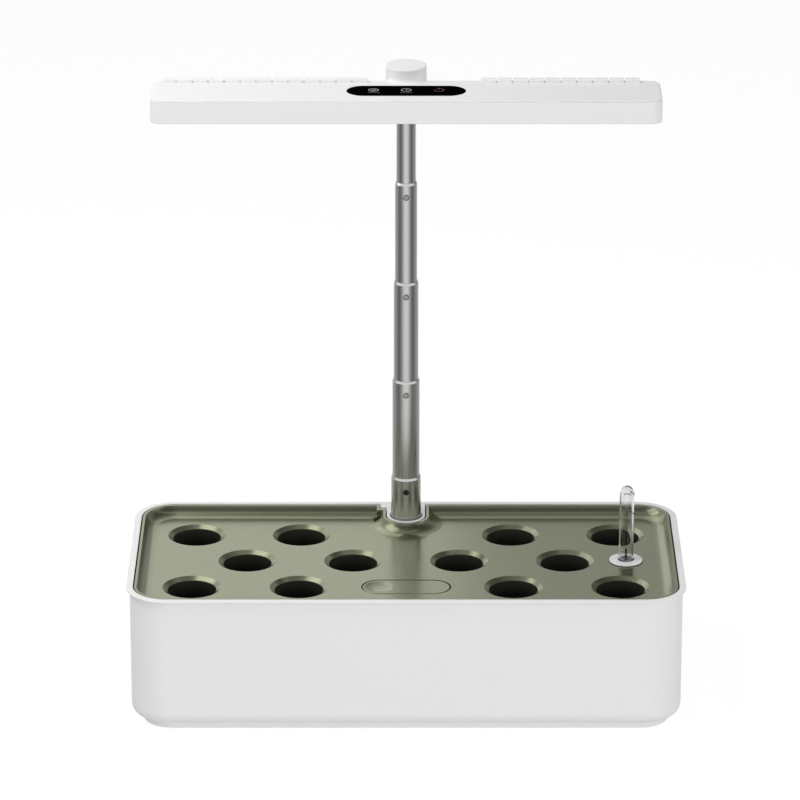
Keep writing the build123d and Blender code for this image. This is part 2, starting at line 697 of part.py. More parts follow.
with BuildPart() as gauge_tube:
    with BuildSketch(Plane.XZ.offset(-gauge_y)):
        dome_z = rim_z + gauge_tube_top - gauge_tube_d / 2
        for radius, mode in ((gauge_tube_d / 2, Mode.ADD),
                             (gauge_tube_d / 2 - gauge_tube_wall, Mode.SUBTRACT)):
            with Locations((gauge_x, dome_z)):
                Circle(radius, mode=mode)
            with Locations((gauge_x, (dome_z + seat_foot_z) / 2)):
                Rectangle(2 * radius, dome_z - seat_foot_z, mode=mode)
        with Locations((gauge_x - gauge_tube_d, dome_z)):
            Rectangle(2 * gauge_tube_d, 6 * gauge_tube_d, mode=Mode.SUBTRACT)
    revolve(axis=Axis((gauge_x, gauge_y, 0), (0, 0, 1)))

with BuildPart() as float_stem:
    with Locations((gauge_x, gauge_y, float_top_z)):
        Cylinder(stem_d / 2, stem_l, align=UP)
    fillet(float_stem.edges().group_by(Axis.Z)[-1], 0.5)

with BuildPart() as float_block:
    with Locations((gauge_x, gauge_y, float_top_z - fit)):
        Cylinder(float_r, float_h, align=DOWN)
    chamfer(float_block.edges(), 1.0)

# ---------------------------------------------------------------- lamp
seam_z = lamp_top_z - lamp_lid_edge - lamp_seam         # top of the casing's side wall
lid_foot_z = lamp_top_z - lamp_lid_t
tray_floor_z = lamp_foot_z + lamp_wall
lid_inset = lamp_wall + 0.15
flange_top_z = tray_floor_z + fit + diffuser_flange_t
led_foot_z = flange_top_z + led_gap
led_top_z = led_foot_z + led_board_t
sleeve_r = boss_r - boss_wall - 0.1
sleeve_top_z = tube_tops[-1] + fit + 1.4
cable_window_z = led_foot_z - cable_window_h
set_screw_hole = Location((0, mast_y, set_screw_z), (-90, 0, 0))
lamp_posts = [(x, lamp_y + y) for x, y, z in corners(lamp_w - 2 * lamp_post_end,
                                                     lamp_d - 2 * lamp_post_side, 0)]
vent_w = vent_pitch - vent_slot
vent_rows = [(vent_end - lamp_w / 2, -boss_r - vent_boss_gap),
             (panel_l / 2 + vent_panel_gap, lamp_w / 2 - vent_end)]
vent_xs = [start + vent_w / 2 + i * vent_pitch for start, end in vent_rows
           for i in range(int((end - start) / vent_pitch))]
diffuser_l = lamp_w - 2 * diffuser_end
diffuser_w = lamp_d - 2 * diffuser_side
led_board_l = diffuser_l - 2 * led_board_end
led_board_w = diffuser_w + 2 * led_board_over
rib_xs = [side * x for side in (-1, 1) for x in (rib_mid_x, led_board_l / 2 - rib_end)]
vent_back_y = lamp_y + lamp_d / 2 - lamp_lid_in - vent_edge


def lamp_outline(inset):
    """Plan of the lamp, drawn in by inset."""
    with Locations((0, lamp_y)):
        RectangleRounded(lamp_w - 2 * inset, lamp_d - 2 * inset, lamp_corner_r - inset)


with BuildPart() as lamp_tray:
    with BuildSketch(Plane.XY.offset(lamp_foot_z)):
        lamp_outline(0)
    extrude(amount=seam_z - lamp_foot_z)
    fillet(lamp_tray.faces().sort_by(Axis.Z)[0].edges(), 0.6)
    with BuildSketch(Plane.XY.offset(tray_floor_z)):
        lamp_outline(lamp_wall)
    extrude(amount=lamp_h, mode=Mode.SUBTRACT)
    # wall round the boss, kept inside the casing
    with BuildSketch(Plane.XY.offset(lamp_foot_z)):
        with Locations((0, mast_y)):
            Circle(boss_r + boss_ring_gap + lamp_wall)
        with Locations((0, lamp_y)):
            Rectangle(lamp_w, lamp_d - lamp_wall, mode=Mode.INTERSECT)
    extrude(amount=lid_foot_z - 0.1 - lamp_foot_z)
    with BuildSketch(Plane.XY.offset(lamp_foot_z)):
        with Locations((0, mast_y)):
            Circle(boss_r + boss_ring_gap)
    extrude(amount=lamp_h, mode=Mode.SUBTRACT)
    with Locations((0, mast_y, cable_window_z)):
        Box(cable_window_w, 2 * boss_r, lamp_h, align=(Align.CENTER, Align.MAX, Align.MIN),
            mode=Mode.SUBTRACT)
    # light window and screw seats
    with BuildSketch(Plane.XY.offset(lamp_foot_z)):
        with Locations((0, lamp_y)):
            RectangleRounded(diffuser_l + 2 * diffuser_gap, diffuser_w + 2 * diffuser_gap,
                             diffuser_corner_r + diffuser_gap)
    extrude(amount=lamp_wall, mode=Mode.SUBTRACT)
    with Locations(*[(x, y, tray_floor_z) for x, y in lamp_posts]):
        Cylinder(m3_head_d / 2 + 2.0, lamp_screw_sink, align=UP)
    with Locations(*[(x, y, lamp_foot_z) for x, y in lamp_posts]):
        Cylinder(m3_head_d / 2 + 0.2, lamp_screw_sink, align=UP, mode=Mode.SUBTRACT)
        Cylinder(m3_d / 2 + 0.2, lamp_h / 2, align=UP, mode=Mode.SUBTRACT)

post_foot_z = tray_floor_z + lamp_screw_sink + fit

with BuildPart() as boss_flare:
    with BuildSketch(Plane((0, mast_y, 0), x_dir=(1, 0, 0), z_dir=(0, -1, 0))):
        with Locations((boss_r, lamp_top_z)):
            Rectangle(boss_flare_r, boss_flare_r, align=(Align.MIN, Align.MIN))
        with Locations((boss_r + boss_flare_r, lamp_top_z + boss_flare_r)):
            Circle(boss_flare_r, mode=Mode.SUBTRACT)
        with Locations((boss_r - boss_wall / 2, lamp_top_z - lamp_lid_edge / 2)):
            Rectangle(boss_wall / 2, boss_flare_r, align=(Align.MIN, Align.MIN))
            Rectangle(boss_wall / 2 + boss_flare_r, lamp_lid_edge / 2, align=(Align.MIN, Align.MIN))
    revolve(axis=mast_axis)
    with BuildSketch(Plane.XY.offset(lamp_foot_z)):
        lamp_outline(lamp_lid_in + lamp_lid_edge / 2)
    extrude(amount=2 * lamp_h, mode=Mode.INTERSECT)

with BuildPart() as lamp_lid:
    with BuildSketch(Plane.XY.offset(lid_foot_z)):
        lamp_outline(lid_inset)
    extrude(amount=lamp_lid_t - lamp_lid_edge / 2)
    with BuildSketch(Plane.XY.offset(lamp_top_z - lamp_lid_edge)):
        lamp_outline(lamp_lid_in)
    extrude(amount=lamp_lid_edge)
    fillet(lamp_lid.faces().sort_by(Axis.Z)[-1].edges(), lamp_lid_edge / 2)
    # boss: a cap over the top of the mast, flared into the lid
    with Locations((0, mast_y, boss_foot_z)):
        Cylinder(boss_r, boss_top_z - boss_foot_z, align=UP)
    fillet(lamp_lid.faces().sort_by(Axis.Z)[-1].edges(), boss_edge_r)
    add(boss_flare.part)
    # hooded vents along the back edge
    with Locations(*[(x, vent_back_y, lamp_top_z - lamp_lid_edge / 2) for x in vent_xs]):
        Box(vent_w, vent_d, vent_h + lamp_lid_edge / 2, align=(Align.CENTER, Align.MAX, Align.MIN))
    fillet(lamp_lid.edges().filter_by(Axis.X).filter_by_position(
        Axis.Z, lamp_top_z + vent_h - 0.01, lamp_top_z + vent_h + 0.01), vent_edge_r)
    with Locations(*[(x, vent_back_y, lamp_top_z + vent_h - vent_wall) for x in vent_xs]):
        Box(vent_w - 2 * vent_wall, 2 * vent_wall, vent_h - 2 * vent_wall,
            align=(Align.CENTER, Align.CENTER, Align.MAX), mode=Mode.SUBTRACT)
        with Locations((0, -vent_wall, 0)):
            Box(vent_w - 2 * vent_wall, vent_d - 2 * vent_wall, 2 * lamp_lid_t + vent_h,
                align=(Align.CENTER, Align.MAX, Align.MAX), mode=Mode.SUBTRACT)
    # screw posts and the ribs that hang the light board
    with Locations(*[(x, y, post_foot_z) for x, y in lamp_posts]):
        Cylinder(lamp_post_d / 2, lid_foot_z - post_foot_z, align=UP)
    with Locations(*[(x, y, post_foot_z) for x, y in lamp_posts]):
        Cylinder(m3_d / 2 + fit, lamp_h / 2, align=UP, mode=Mode.SUBTRACT)
    with Locations(*[(x, lamp_y, lid_foot_z) for x in rib_xs]):
        Box(rib_t, led_board_w - 3.0, lid_foot_z - led_top_z - fit, align=DOWN)
    # seat of the touch panel, with windows for its keys
    with BuildSketch(Plane.XY.offset(lamp_top_z)):
        with Locations((0, lamp_y)):
            SlotOverall(panel_l + 2 * panel_gap, panel_w + 2 * panel_gap)
    extrude(amount=-panel_t, mode=Mode.SUBTRACT)
    with Locations(*[(x, lamp_y, lamp_top_z) for x in (-icon_pitch, 0, icon_pitch)]):
        Cylinder(2.0, 3 * lamp_lid_t, mode=Mode.SUBTRACT)
    # inside of the boss, with the cable's way into the lamp and the set screw's hole
    with Locations((0, mast_y, boss_foot_z)):
        Cylinder(boss_r - boss_wall, sleeve_top_z + fit - boss_foot_z, align=UP,
                 mode=Mode.SUBTRACT)
    with Locations((0, mast_y, cable_window_z)):
        Box(cable_window_w, 2 * boss_r, cable_window_h, align=(Align.CENTER, Align.MAX, Align.MIN),
            mode=Mode.SUBTRACT)
    with Locations(set_screw_hole):
        Cylinder(set_screw_d / 2 + fit, 2 * boss_r, align=UP, mode=Mode.SUBTRACT)

with BuildPart() as mast_socket:
    with Locations((0, mast_y, boss_foot_z + 0.5)):
        Cylinder(sleeve_r, sleeve_top_z - boss_foot_z - 0.5, align=UP)
    with Locations((0, mast_y, boss_foot_z)):
        Cylinder(tube_ods[-1] / 2 + fit, tube_tops[-1] + fit - boss_foot_z, align=UP,
                 mode=Mode.SUBTRACT)
    with Locations((0, mast_y, sleeve_top_z)):
        Cylinder(inner_radius(mast_tubes - 1) - 1.5, lamp_h, mode=Mode.SUBTRACT)
    with Locations((0, mast_y, cable_window_z)):
        Box(cable_window_w, 2 * boss_r, cable_window_h, align=(Align.CENTER, Align.MAX, Align.MIN),
            mode=Mode.SUBTRACT)
    with Locations(set_screw_hole):
        Cylinder(set_screw_d / 2 + fit, 2 * boss_r, align=UP, mode=Mode.SUBTRACT)
    chamfer(mast_socket.edges().filter_by(GeomType.CIRCLE).group_by(Axis.Z)[0], 0.4)

with BuildPart() as mast_set_screw:
    with Locations(set_screw_hole):
        with Locations((0, 0, tube_ods[-1] / 2 + fit)):
            Cylinder(set_screw_d / 2, boss_r - tube_ods[-1] / 2 - 0.6, align=UP)
    chamfer(mast_set_screw.edges().group_by(Axis.Y)[0], 0.4)
    with BuildSketch(Plane((0, mast_y + boss_r - 0.6, set_screw_z), z_dir=(0, 1, 0))):
        RegularPolygon(0.8, 6)
    extrude(amount=-1.6, mode=Mode.SUBTRACT)

with BuildPart() as lamp_screws:
    with Locations(*[(x, y, lamp_foot_z + lamp_screw_sink - fit) for x, y in lamp_posts]):
        Cylinder(m3_head_d / 2, m3_head_h, align=DOWN)
        Cylinder(m3_d / 2, lamp_h / 2, align=UP)
    with Locations(*[(x, y, lamp_foot_z + lamp_screw_sink - m3_head_h - fit)
                     for x, y in lamp_posts]):
        Cylinder(0.9, 0.9, align=UP, mode=Mode.SUBTRACT)

with BuildPart() as diffuser:
    with BuildSketch(Plane.XY.offset(lamp_foot_z + 0.2)):
        with Locations((0, lamp_y)):
            RectangleRounded(diffuser_l, diffuser_w, diffuser_corner_r)
    extrude(amount=lamp_wall)
    with BuildSketch(Plane.XY.offset(tray_floor_z + fit)):
        with Locations((0, lamp_y)):
            RectangleRounded(diffuser_l + 2 * diffuser_flange, diffuser_w + 2 * diffuser_flange,
                             diffuser_corner_r + diffuser_flange)
    extrude(amount=diffuser_flange_t)

with BuildPart() as led_board:
    with Locations((0, lamp_y, led_foot_z)):
        Box(led_board_l, led_board_w, led_board_t, align=UP)

with BuildPart() as led_chips:
    with Locations((0, lamp_y, led_foot_z)):
        with GridLocations(led_board_l / led_cols, led_board_w / led_rows, led_cols, led_rows):
            Box(led_size, led_size, led_t, align=DOWN)

with BuildPart() as touch_panel:
    with BuildSketch(Plane.XY.offset(lamp_top_z - panel_t + fit)):
        with Locations((0, lamp_y)):
            SlotOverall(panel_l, panel_w)
    extrude(amount=panel_t)
    fillet(touch_panel.faces().sort_by(Axis.Z)[-1].edges(), 0.3)

with BuildPart() as touch_board:
    with Locations((0, lamp_y, lid_foot_z - fit)):
        Box(touch_board_l, touch_board_w, touch_board_t, align=DOWN)

# ---------------------------------------------------------------- pump
pump_foot_z = floor_z + pump_foot_h
pump_axis_z = pump_foot_z + pump_h / 2
pump_end_x = pump_x + pump_w / 2 - pump_cover_t          # where the cover meets the body
chamber_floor_x = pump_end_x - intake_l - blade_l - 2 * impeller_play
rotor_floor_x = chamber_floor_x - rotor_l
pump_axis = Location((rotor_floor_x, pump_y, pump_axis_z), (0, 90, 0))
hub_x = pump_end_x - intake_l + 0.3
shaft_in = 2.5                                           # the shaft's ends sit this deep
cup_points = [(pump_x + x * pump_w / 2.9, pump_y + y * pump_d / 2.9) for x in (-1, 1)
              for y in (-1, 1)]

with BuildPart() as pump_body:
    with Locations((pump_x - pump_cover_t / 2, pump_y, pump_foot_z)):
        Box(pump_w - pump_cover_t, pump_d, pump_h, align=UP)
    fillet(pump_body.edges().filter_by(Axis.X), pump_edge_r)
    fillet(pump_body.faces().sort_by(Axis.X)[0].edges(), 1.2)
    # outlet nozzle
    with Locations((chamber_floor_x + blade_l / 2 + impeller_play, pump_y, pump_foot_z + pump_h - 1)):
        Cylinder(nozzle_d / 2, nozzle_h + 1, align=UP)
    with Locations((chamber_floor_x + blade_l / 2 + impeller_play, pump_y, pump_axis_z)):
        Cylinder(nozzle_bore_d / 2, pump_h, align=UP, mode=Mode.SUBTRACT)
    # intake, impeller chamber and rotor well
    with Locations((pump_end_x, pump_y, pump_axis_z)):
        Box(intake_l, pump_d - 2 * pump_wall, pump_h - 2 * pump_wall,
            align=(Align.MAX, Align.CENTER, Align.CENTER), mode=Mode.SUBTRACT)
    with Locations(pump_axis):
        Cylinder(rotor_d / 2 + impeller_play, pump_w, align=UP, mode=Mode.SUBTRACT)
        Cylinder(shaft_d / 2 + fit, shaft_in, align=DOWN, mode=Mode.SUBTRACT)
        with Locations((0, 0, chamber_floor_x - rotor_floor_x)):
            Cylinder(impeller_d / 2 + impeller_play, pump_w, align=UP, mode=Mode.SUBTRACT)
    with Locations(*[(x, y, pump_foot_z) for x, y in cup_points]):
        Cylinder(cup_neck_d / 2, cup_neck_h + fit, align=UP, mode=Mode.SUBTRACT)

with BuildPart() as impeller_shaft:
    with Locations(pump_axis):
        with Locations((0, 0, fit - shaft_in)):
            Cylinder(shaft_d / 2, hub_x - rotor_floor_x + 2 * (shaft_in - fit), align=UP)

with BuildPart() as pump_impeller:
    with Locations(pump_axis):
        with Locations((0, 0, impeller_play)):
            Cylinder(rotor_d / 2, rotor_l, align=UP)
        with Locations((0, 0, impeller_play + rotor_l)):
            with PolarLocations(impeller_d / 4, 6):
                Box(impeller_d / 2, 1.2, blade_l, align=UP)
            Cylinder(shaft_d / 2 + 1.2, blade_l, align=UP)
        Cylinder(shaft_d / 2 + pin_play, pump_w, align=UP, mode=Mode.SUBTRACT)

with BuildPart() as pump_cover:
    with BuildSketch(Plane((pump_end_x + fit, pump_y, pump_axis_z), x_dir=(0, 1, 0),
                           z_dir=(1, 0, 0))):
        RectangleRounded(pump_d, pump_h, pump_edge_r)
    extrude(amount=pump_cover_t)
    # rim that plugs into the intake, and the slots
    with BuildSketch(Plane((pump_end_x + fit, pump_y, pump_axis_z), x_dir=(0, 1, 0),
                           z_dir=(1, 0, 0))):
        Rectangle(pump_d - 2 * pump_wall - 2 * fit, pump_h - 2 * pump_wall - 2 * fit)
        Rectangle(pump_d - 2 * pump_wall - cover_rim_t, pump_h - 2 * pump_wall - cover_rim_t,
                  mode=Mode.SUBTRACT)
    extrude(amount=-cover_rim_h)
    with BuildSketch(Plane((pump_end_x, pump_y, pump_axis_z), x_dir=(0, 1, 0), z_dir=(1, 0, 0))):
        with Locations(*[(0, row * 4.0) for row in range(-2, 3)]):
            SlotOverall(pump_d - 3 * pump_wall, 1.8)
        Rectangle(3.0, pump_h, mode=Mode.SUBTRACT)
    extrude(amount=2 * pump_cover_t, mode=Mode.SUBTRACT)
    # hub that holds the shaft's end
    with Locations(Location((hub_x, pump_y, pump_axis_z), (0, 90, 0))):
        Cylinder(shaft_d / 2 + 1.6, pump_end_x + pump_cover_t - hub_x, align=UP)
        Cylinder(shaft_d / 2 + fit, shaft_in, align=UP, mode=Mode.SUBTRACT)

with BuildPart() as intake_sponge:
    with BuildSketch(Plane((pump_end_x - cover_rim_h - fit, pump_y, pump_axis_z),
                           x_dir=(0, 1, 0), z_dir=(1, 0, 0))):
        Rectangle(pump_d - 2 * pump_wall - 0.2, pump_h - 2 * pump_wall - 0.2)
        Circle(shaft_d / 2 + 1.8, mode=Mode.SUBTRACT)
    extrude(amount=-(intake_l - cover_rim_h - 0.6))

with BuildPart() as suction_cups:
    with Locations(*[(x, y, floor_z + fit) for x, y in cup_points]):
        Cone(cup_d / 2, cup_neck_d / 2, pump_foot_h - 2 * fit, align=UP)
    with Locations(*[(x, y, floor_z + fit) for x, y in cup_points]):
        Cone(cup_d / 2 - 0.7, cup_neck_d / 2, pump_foot_h / 2, align=UP, mode=Mode.SUBTRACT)
    with Locations(*[(x, y, pump_foot_z - fit) for x, y in cup_points]):
        Cylinder(cup_neck_d / 2 - fit, cup_neck_h, align=UP)

# ---------------------------------------------------------------- power inlet
with BuildPart() as dc_jack:
    with Locations((chamber_x, column_back, jack_z)):
        Box(jack_body_l, jack_body_l, jack_body_l, align=(Align.CENTER, Align.MAX, Align.CENTER))
    with Locations(Location((chamber_x, column_back - 1.0, jack_z), (-90, 0, 0))):
        Cylinder(jack_d / 2, tank_wall + 1.0 + fit, align=UP)
    with Locations(Location((chamber_x, wall_d / 2 + fit, jack_z), (-90, 0, 0))):
        Cylinder(jack_flange_d / 2, jack_flange_t, align=UP)
    chamfer(dc_jack.faces().sort_by(Axis.Y)[-1].edges(), 0.3)
    with Locations(Location((chamber_x, wall_d / 2 + fit + jack_flange_t, jack_z), (-90, 0, 0))):
        Cylinder(jack_bore_d / 2, jack_bore_depth, align=DOWN, mode=Mode.SUBTRACT)
        with Locations((0, 0, -0.6)):
            Cylinder(jack_pin_d / 2, jack_bore_depth - 0.6, align=DOWN)

with BuildPart() as power_board:
    with Locations((chamber_x, chamber_y0 + board_stand + fit, jack_z)):
        Box(board_w, board_t, board_h, align=(Align.CENTER, Align.MIN, Align.CENTER))
    with Locations(*board_pegs):
        Cylinder(board_peg_d / 2 + fit, 4 * board_stand, mode=Mode.SUBTRACT)

# ---------------------------------------------------------------- write the pieces
finish(tank.part, "tank")
finish(base_cover.part, "base_cover")
finish(rubber_feet.part, "rubber_feet")
finish(base_screws.part, "base_screws")
finish(mast_bush.part, "mast_bush")
finish(mast_plug.part, "mast_plug")
finish(mast_screw.part, "mast_screw")
for number in range(mast_tubes):
    finish(make_tube(number), f"mast_tube_{number + 1}")
for number in range(1, mast_tubes):
    finish(make_button(number), f"snap_button_{number}")
    finish(make_clip(number), f"button_spring_{number}")
finish(deck.part, "deck")
finish(filler_flap.part, "filler_flap")
finish(flap_pin.part, "flap_pin")
finish(gauge_body.part, "gauge_body")
finish(gauge_tube.part, "gauge_tube")
finish(float_stem.part, "float_stem")
finish(float_block.part, "float_block")
finish(lamp_tray.part, "lamp_tray")
finish(lamp_lid.part, "lamp_lid")
finish(mast_socket.part, "mast_socket")
finish(mast_set_screw.part, "mast_set_screw")
finish(lamp_screws.part, "lamp_screws")
finish(diffuser.part, "diffuser")
finish(led_board.part, "led_board")
finish(led_chips.part, "led_chips")
finish(touch_panel.part, "touch_panel")
finish(touch_board.part, "touch_board")
finish(pump_body.part, "pump_body")
finish(impeller_shaft.part, "impeller_shaft")
finish(pump_impeller.part, "pump_impeller")
finish(pump_cover.part, "pump_cover")
finish(intake_sponge.part, "intake_sponge")
finish(suction_cups.part, "suction_cups")
finish(dc_jack.part, "dc_jack")
finish(power_board.part, "power_board")
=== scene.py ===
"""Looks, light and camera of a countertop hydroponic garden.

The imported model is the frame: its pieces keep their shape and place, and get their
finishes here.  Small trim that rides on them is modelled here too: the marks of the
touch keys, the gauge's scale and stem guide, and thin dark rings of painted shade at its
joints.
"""
import logging
import math
from dataclasses import dataclass, field
from enum import Enum

import bpy
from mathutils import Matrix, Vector


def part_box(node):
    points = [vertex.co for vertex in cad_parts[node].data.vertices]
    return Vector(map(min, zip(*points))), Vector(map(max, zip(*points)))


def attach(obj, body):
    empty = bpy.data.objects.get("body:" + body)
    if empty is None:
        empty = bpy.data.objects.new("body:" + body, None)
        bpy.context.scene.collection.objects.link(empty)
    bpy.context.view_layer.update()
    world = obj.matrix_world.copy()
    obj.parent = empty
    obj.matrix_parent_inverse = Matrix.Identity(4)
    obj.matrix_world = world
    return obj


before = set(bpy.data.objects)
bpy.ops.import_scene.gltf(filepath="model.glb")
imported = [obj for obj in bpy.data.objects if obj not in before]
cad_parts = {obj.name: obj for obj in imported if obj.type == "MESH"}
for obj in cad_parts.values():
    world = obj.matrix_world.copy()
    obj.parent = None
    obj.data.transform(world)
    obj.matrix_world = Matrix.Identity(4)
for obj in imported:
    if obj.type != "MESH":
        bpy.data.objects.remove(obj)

log = logging.getLogger("garden")
MM = 0.001
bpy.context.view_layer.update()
Colour = tuple[float, float, float, float]
Place = tuple[float, float, float]


# ---------------------------------------------------------------- small tools
def linear(code: str) -> Colour:
    """Turn an sRGB hex colour into linear light.

    Args:
        code: six hex digits, with or without a leading #.

    Returns:
        Red, green, blue and an alpha of 1.
    """
    code = code.lstrip("#")
    parts = [int(code[i:i + 2], 16) / 255 for i in (0, 2, 4)]
    light = [p / 12.92 if p <= 0.04045 else ((p + 0.055) / 1.055) ** 2.4 for p in parts]
    return (light[0], light[1], light[2], 1.0)


def add_node(tree: bpy.types.NodeTree, kind: str, options: dict | None = None,
             sockets: dict | None = None) -> bpy.types.Node:
    """Add one node with its options, socket values and links.

    Args:
        tree: the node tree it goes into.
        kind: the node's type name.
        options: properties of the node.
        sockets: input name or number, with a value or the output socket that feeds it.

    Returns:
        The new node.
    """
    made = tree.nodes.new(kind)
    for name, value in (options or {}).items():
        setattr(made, name, value)
    for name, value in (sockets or {}).items():
        if isinstance(value, bpy.types.NodeSocket):
            tree.links.new(value, made.inputs[name])
        else:
            made.inputs[name].default_value = value
    return made


def span(tree: bpy.types.NodeTree, value: bpy.types.NodeSocket, low: object,
         high: object, start: float = 0.0, end: float = 1.0) -> bpy.types.NodeSocket:
    """Map a number from start..end to low..high.

    Args:
        tree: the node tree.
        value: the number's socket.
        low: the result at start, or its socket.
        high: the result at end, or its socket.
        start: where the result is low.
        end: where the result is high.

    Returns:
        The socket that gives the result.
    """
    made = add_node(tree, "ShaderNodeMapRange", sockets={
        "Value": value, "From Min": start, "From Max": end, "To Min": low,
        "To Max": high})
    return made.outputs["Result"]


def deselect() -> None:
    """Leave edit mode and deselect everything."""
    if bpy.context.object and bpy.context.object.mode != "OBJECT":
        bpy.ops.object.mode_set(mode="OBJECT")
    bpy.ops.object.select_all(action="DESELECT")


def settle(name: str, angle: float = 35.0) -> bpy.types.Object:
    """Name the active mesh, put its place into its vertices and tidy its faces.

    Args:
        name: the piece's name.
        angle: faces that meet at less than this many degrees are smoothed.

    Returns:
        The finished object, at the origin.
    """
    piece = bpy.context.object
    if piece.mode != "OBJECT":
        bpy.ops.object.mode_set(mode="OBJECT")
    bpy.ops.object.transform_apply(location=True, rotation=True, scale=True)
    bpy.ops.object.mode_set(mode="EDIT")
    bpy.ops.mesh.select_all(action="SELECT")
    bpy.ops.mesh.remove_doubles(threshold=1e-6)
    bpy.ops.mesh.normals_make_consistent(inside=False)
    bpy.ops.object.mode_set(mode="OBJECT")
    bpy.ops.object.shade_smooth_by_angle(angle=math.radians(angle))
    piece.name = piece.data.name = name
    return piece


def dress(piece: bpy.types.Object, material: bpy.types.Material) -> None:
    """Give a piece one material all over."""
    piece.data.materials.clear()
    piece.data.materials.append(material)


def join(pieces: list[bpy.types.Object], name: str) -> bpy.types.Object:
    """Make several meshes one object.

    Args:
        pieces: the meshes, all at the origin.
        name: the name of the whole.

    Returns:
        The joined object.
    """
    deselect()
    for piece in pieces:
        piece.select_set(True)
    bpy.context.view_layer.objects.active = pieces[0]
    if len(pieces) > 1:
        bpy.ops.object.join()
    whole = bpy.context.object
    whole.name = whole.data.name = name
    return whole


def spun_bar(name: str, axis: Place, radius: float, width: float, height: float,
             start: float = 0.0, sweep: float = 360.0, steps: int = 48) -> bpy.types.Object:
    """Spin a small upright rectangle about a vertical axis.

    Args:
        name: the piece's name.
        axis: a point on the axis, level with the bar's middle.
        radius: from the axis to the middle of the section.
        width: the section's size across the radius.
        height: the section's size along the axis.
        start: where it starts, in degrees from +X towards +Y.
        sweep: how far it goes round, in degrees.
        steps: how many segments it has.

    Returns:
        The finished ring or arc.
    """
    deselect()
    turn = math.radians(start)
    bpy.ops.mesh.primitive_plane_add(size=1.0)
    plane = bpy.context.object
    bpy.ops.object.mode_set(mode="EDIT")
    bpy.ops.transform.resize(value=(width, height, 1.0))
    bpy.ops.object.mode_set(mode="OBJECT")
    plane.rotation_euler = (math.pi / 2, 0.0, turn)
    plane.location = (axis[0] + radius * math.cos(turn), axis[1] + radius * math.sin(turn),
                      axis[2])
    bpy.ops.object.transform_apply(location=True, rotation=True, scale=True)
    bpy.ops.object.mode_set(mode="EDIT")
    bpy.ops.mesh.select_all(action="SELECT")
    if sweep >= 360.0:
        bpy.ops.mesh.delete(type="ONLY_FACE")
        bpy.ops.mesh.select_all(action="SELECT")
    bpy.ops.mesh.spin(steps=steps, angle=math.radians(sweep), center=axis,
                      axis=(0.0, 0.0, 1.0))
    return settle(name)


def soft_block(name: str, centre: Place, size: Place, edge: float,
               turn: float = 0.0) -> bpy.types.Object:
    """Make a small block with rounded edges.

    Args:
        name: the piece's name.
        centre: its middle.
        size: its three sides.
        edge: the radius of its edges.
        turn: how far it is turned about +Z, in degrees.

    Returns:
        The finished block.
    """
    deselect()
    bpy.ops.mesh.primitive_cube_add(size=1.0)
    block = bpy.context.object
    bpy.ops.object.mode_set(mode="EDIT")
    bpy.ops.transform.resize(value=size)
    bpy.ops.mesh.select_all(action="SELECT")
    bpy.ops.mesh.bevel(offset=edge, segments=2, affect="EDGES")
    bpy.ops.object.mode_set(mode="OBJECT")
    block.rotation_euler = (0.0, 0.0, math.radians(turn))
    block.location = centre
    return settle(name)


# ---------------------------------------------------------------- finishes
@dataclass(frozen=True)
class Finish:
    """What all finishes share: a name and a principled shader."""

    name: str

    def start(self, **sockets: object) -> tuple[bpy.types.Material, bpy.types.NodeTree,
                                                bpy.types.Node]:
        """Make the material and its shader.

        Args:
            sockets: shader inputs, with underscores for the spaces in their names.

        Returns:
            The material, its tree and the shader node.
        """
        material = bpy.data.materials.new(self.name)
        material.use_nodes = True
        tree = material.node_tree
        shader = tree.nodes["Principled BSDF"]
        for name, value in sockets.items():
            shader.inputs[name.replace("_", " ")].default_value = value
        return material, tree, shader

    def place(self, tree: bpy.types.NodeTree,
              scale: Place = (1.0, 1.0, 1.0)) -> bpy.types.NodeSocket:
        """Object coordinates, stretched.

        Args:
            tree: the material's tree.
            scale: how much each axis is stretched.

        Returns:
            The socket that gives the place.
        """
        at = add_node(tree, "ShaderNodeTexCoord")
        mapped = add_node(tree, "ShaderNodeMapping", sockets={
            "Vector": at.outputs["Object"], "Scale": scale})
        return mapped.outputs["Vector"]

    def noise(self, tree: bpy.types.NodeTree, size_mm: float, detail: float = 2.0,
              scale: Place = (1.0, 1.0, 1.0)) -> bpy.types.NodeSocket:
        """Noise whose blotches are about size_mm wide.

        Args:
            tree: the material's tree.
            size_mm: the blotches' real width.
            detail: how many finer layers are added.
            scale: how much each axis is stretched.

        Returns:
            The socket that gives the noise.
        """
        made = add_node(tree, "ShaderNodeTexNoise", sockets={
            "Vector": self.place(tree, scale), "Scale": 1.0 / (size_mm * MM),
            "Detail": detail, "Roughness": 0.55})
        return made.outputs["Fac"]

    def blend(self, tree: bpy.types.NodeTree, share: bpy.types.NodeSocket,
              first: object, second: object) -> bpy.types.NodeSocket:
        """Mix two colours.

        Args:
            tree: the material's tree.
            share: how much of the second there is.
            first: a colour or its socket.
            second: a colour or its socket.

        Returns:
            The socket that gives the mixed colour.
        """
        made = add_node(tree, "ShaderNodeMixRGB", sockets={
            "Fac": share, "Color1": first, "Color2": second})
        return made.outputs["Color"]

    def bump(self, tree: bpy.types.NodeTree, shader: bpy.types.Node,
             height: bpy.types.NodeSocket, depth_mm: float) -> None:
        """Lead a height into the shader's normal.

        Args:
            tree: the material's tree.
            shader: the principled shader.
            height: the height's socket, 0 to 1.
            depth_mm: what a height of 1 stands for.
        """
        made = add_node(tree, "ShaderNodeBump", sockets={
            "Height": height, "Distance": depth_mm * MM, "Strength": 1.0})
        tree.links.new(made.outputs["Normal"], shader.inputs["Normal"])


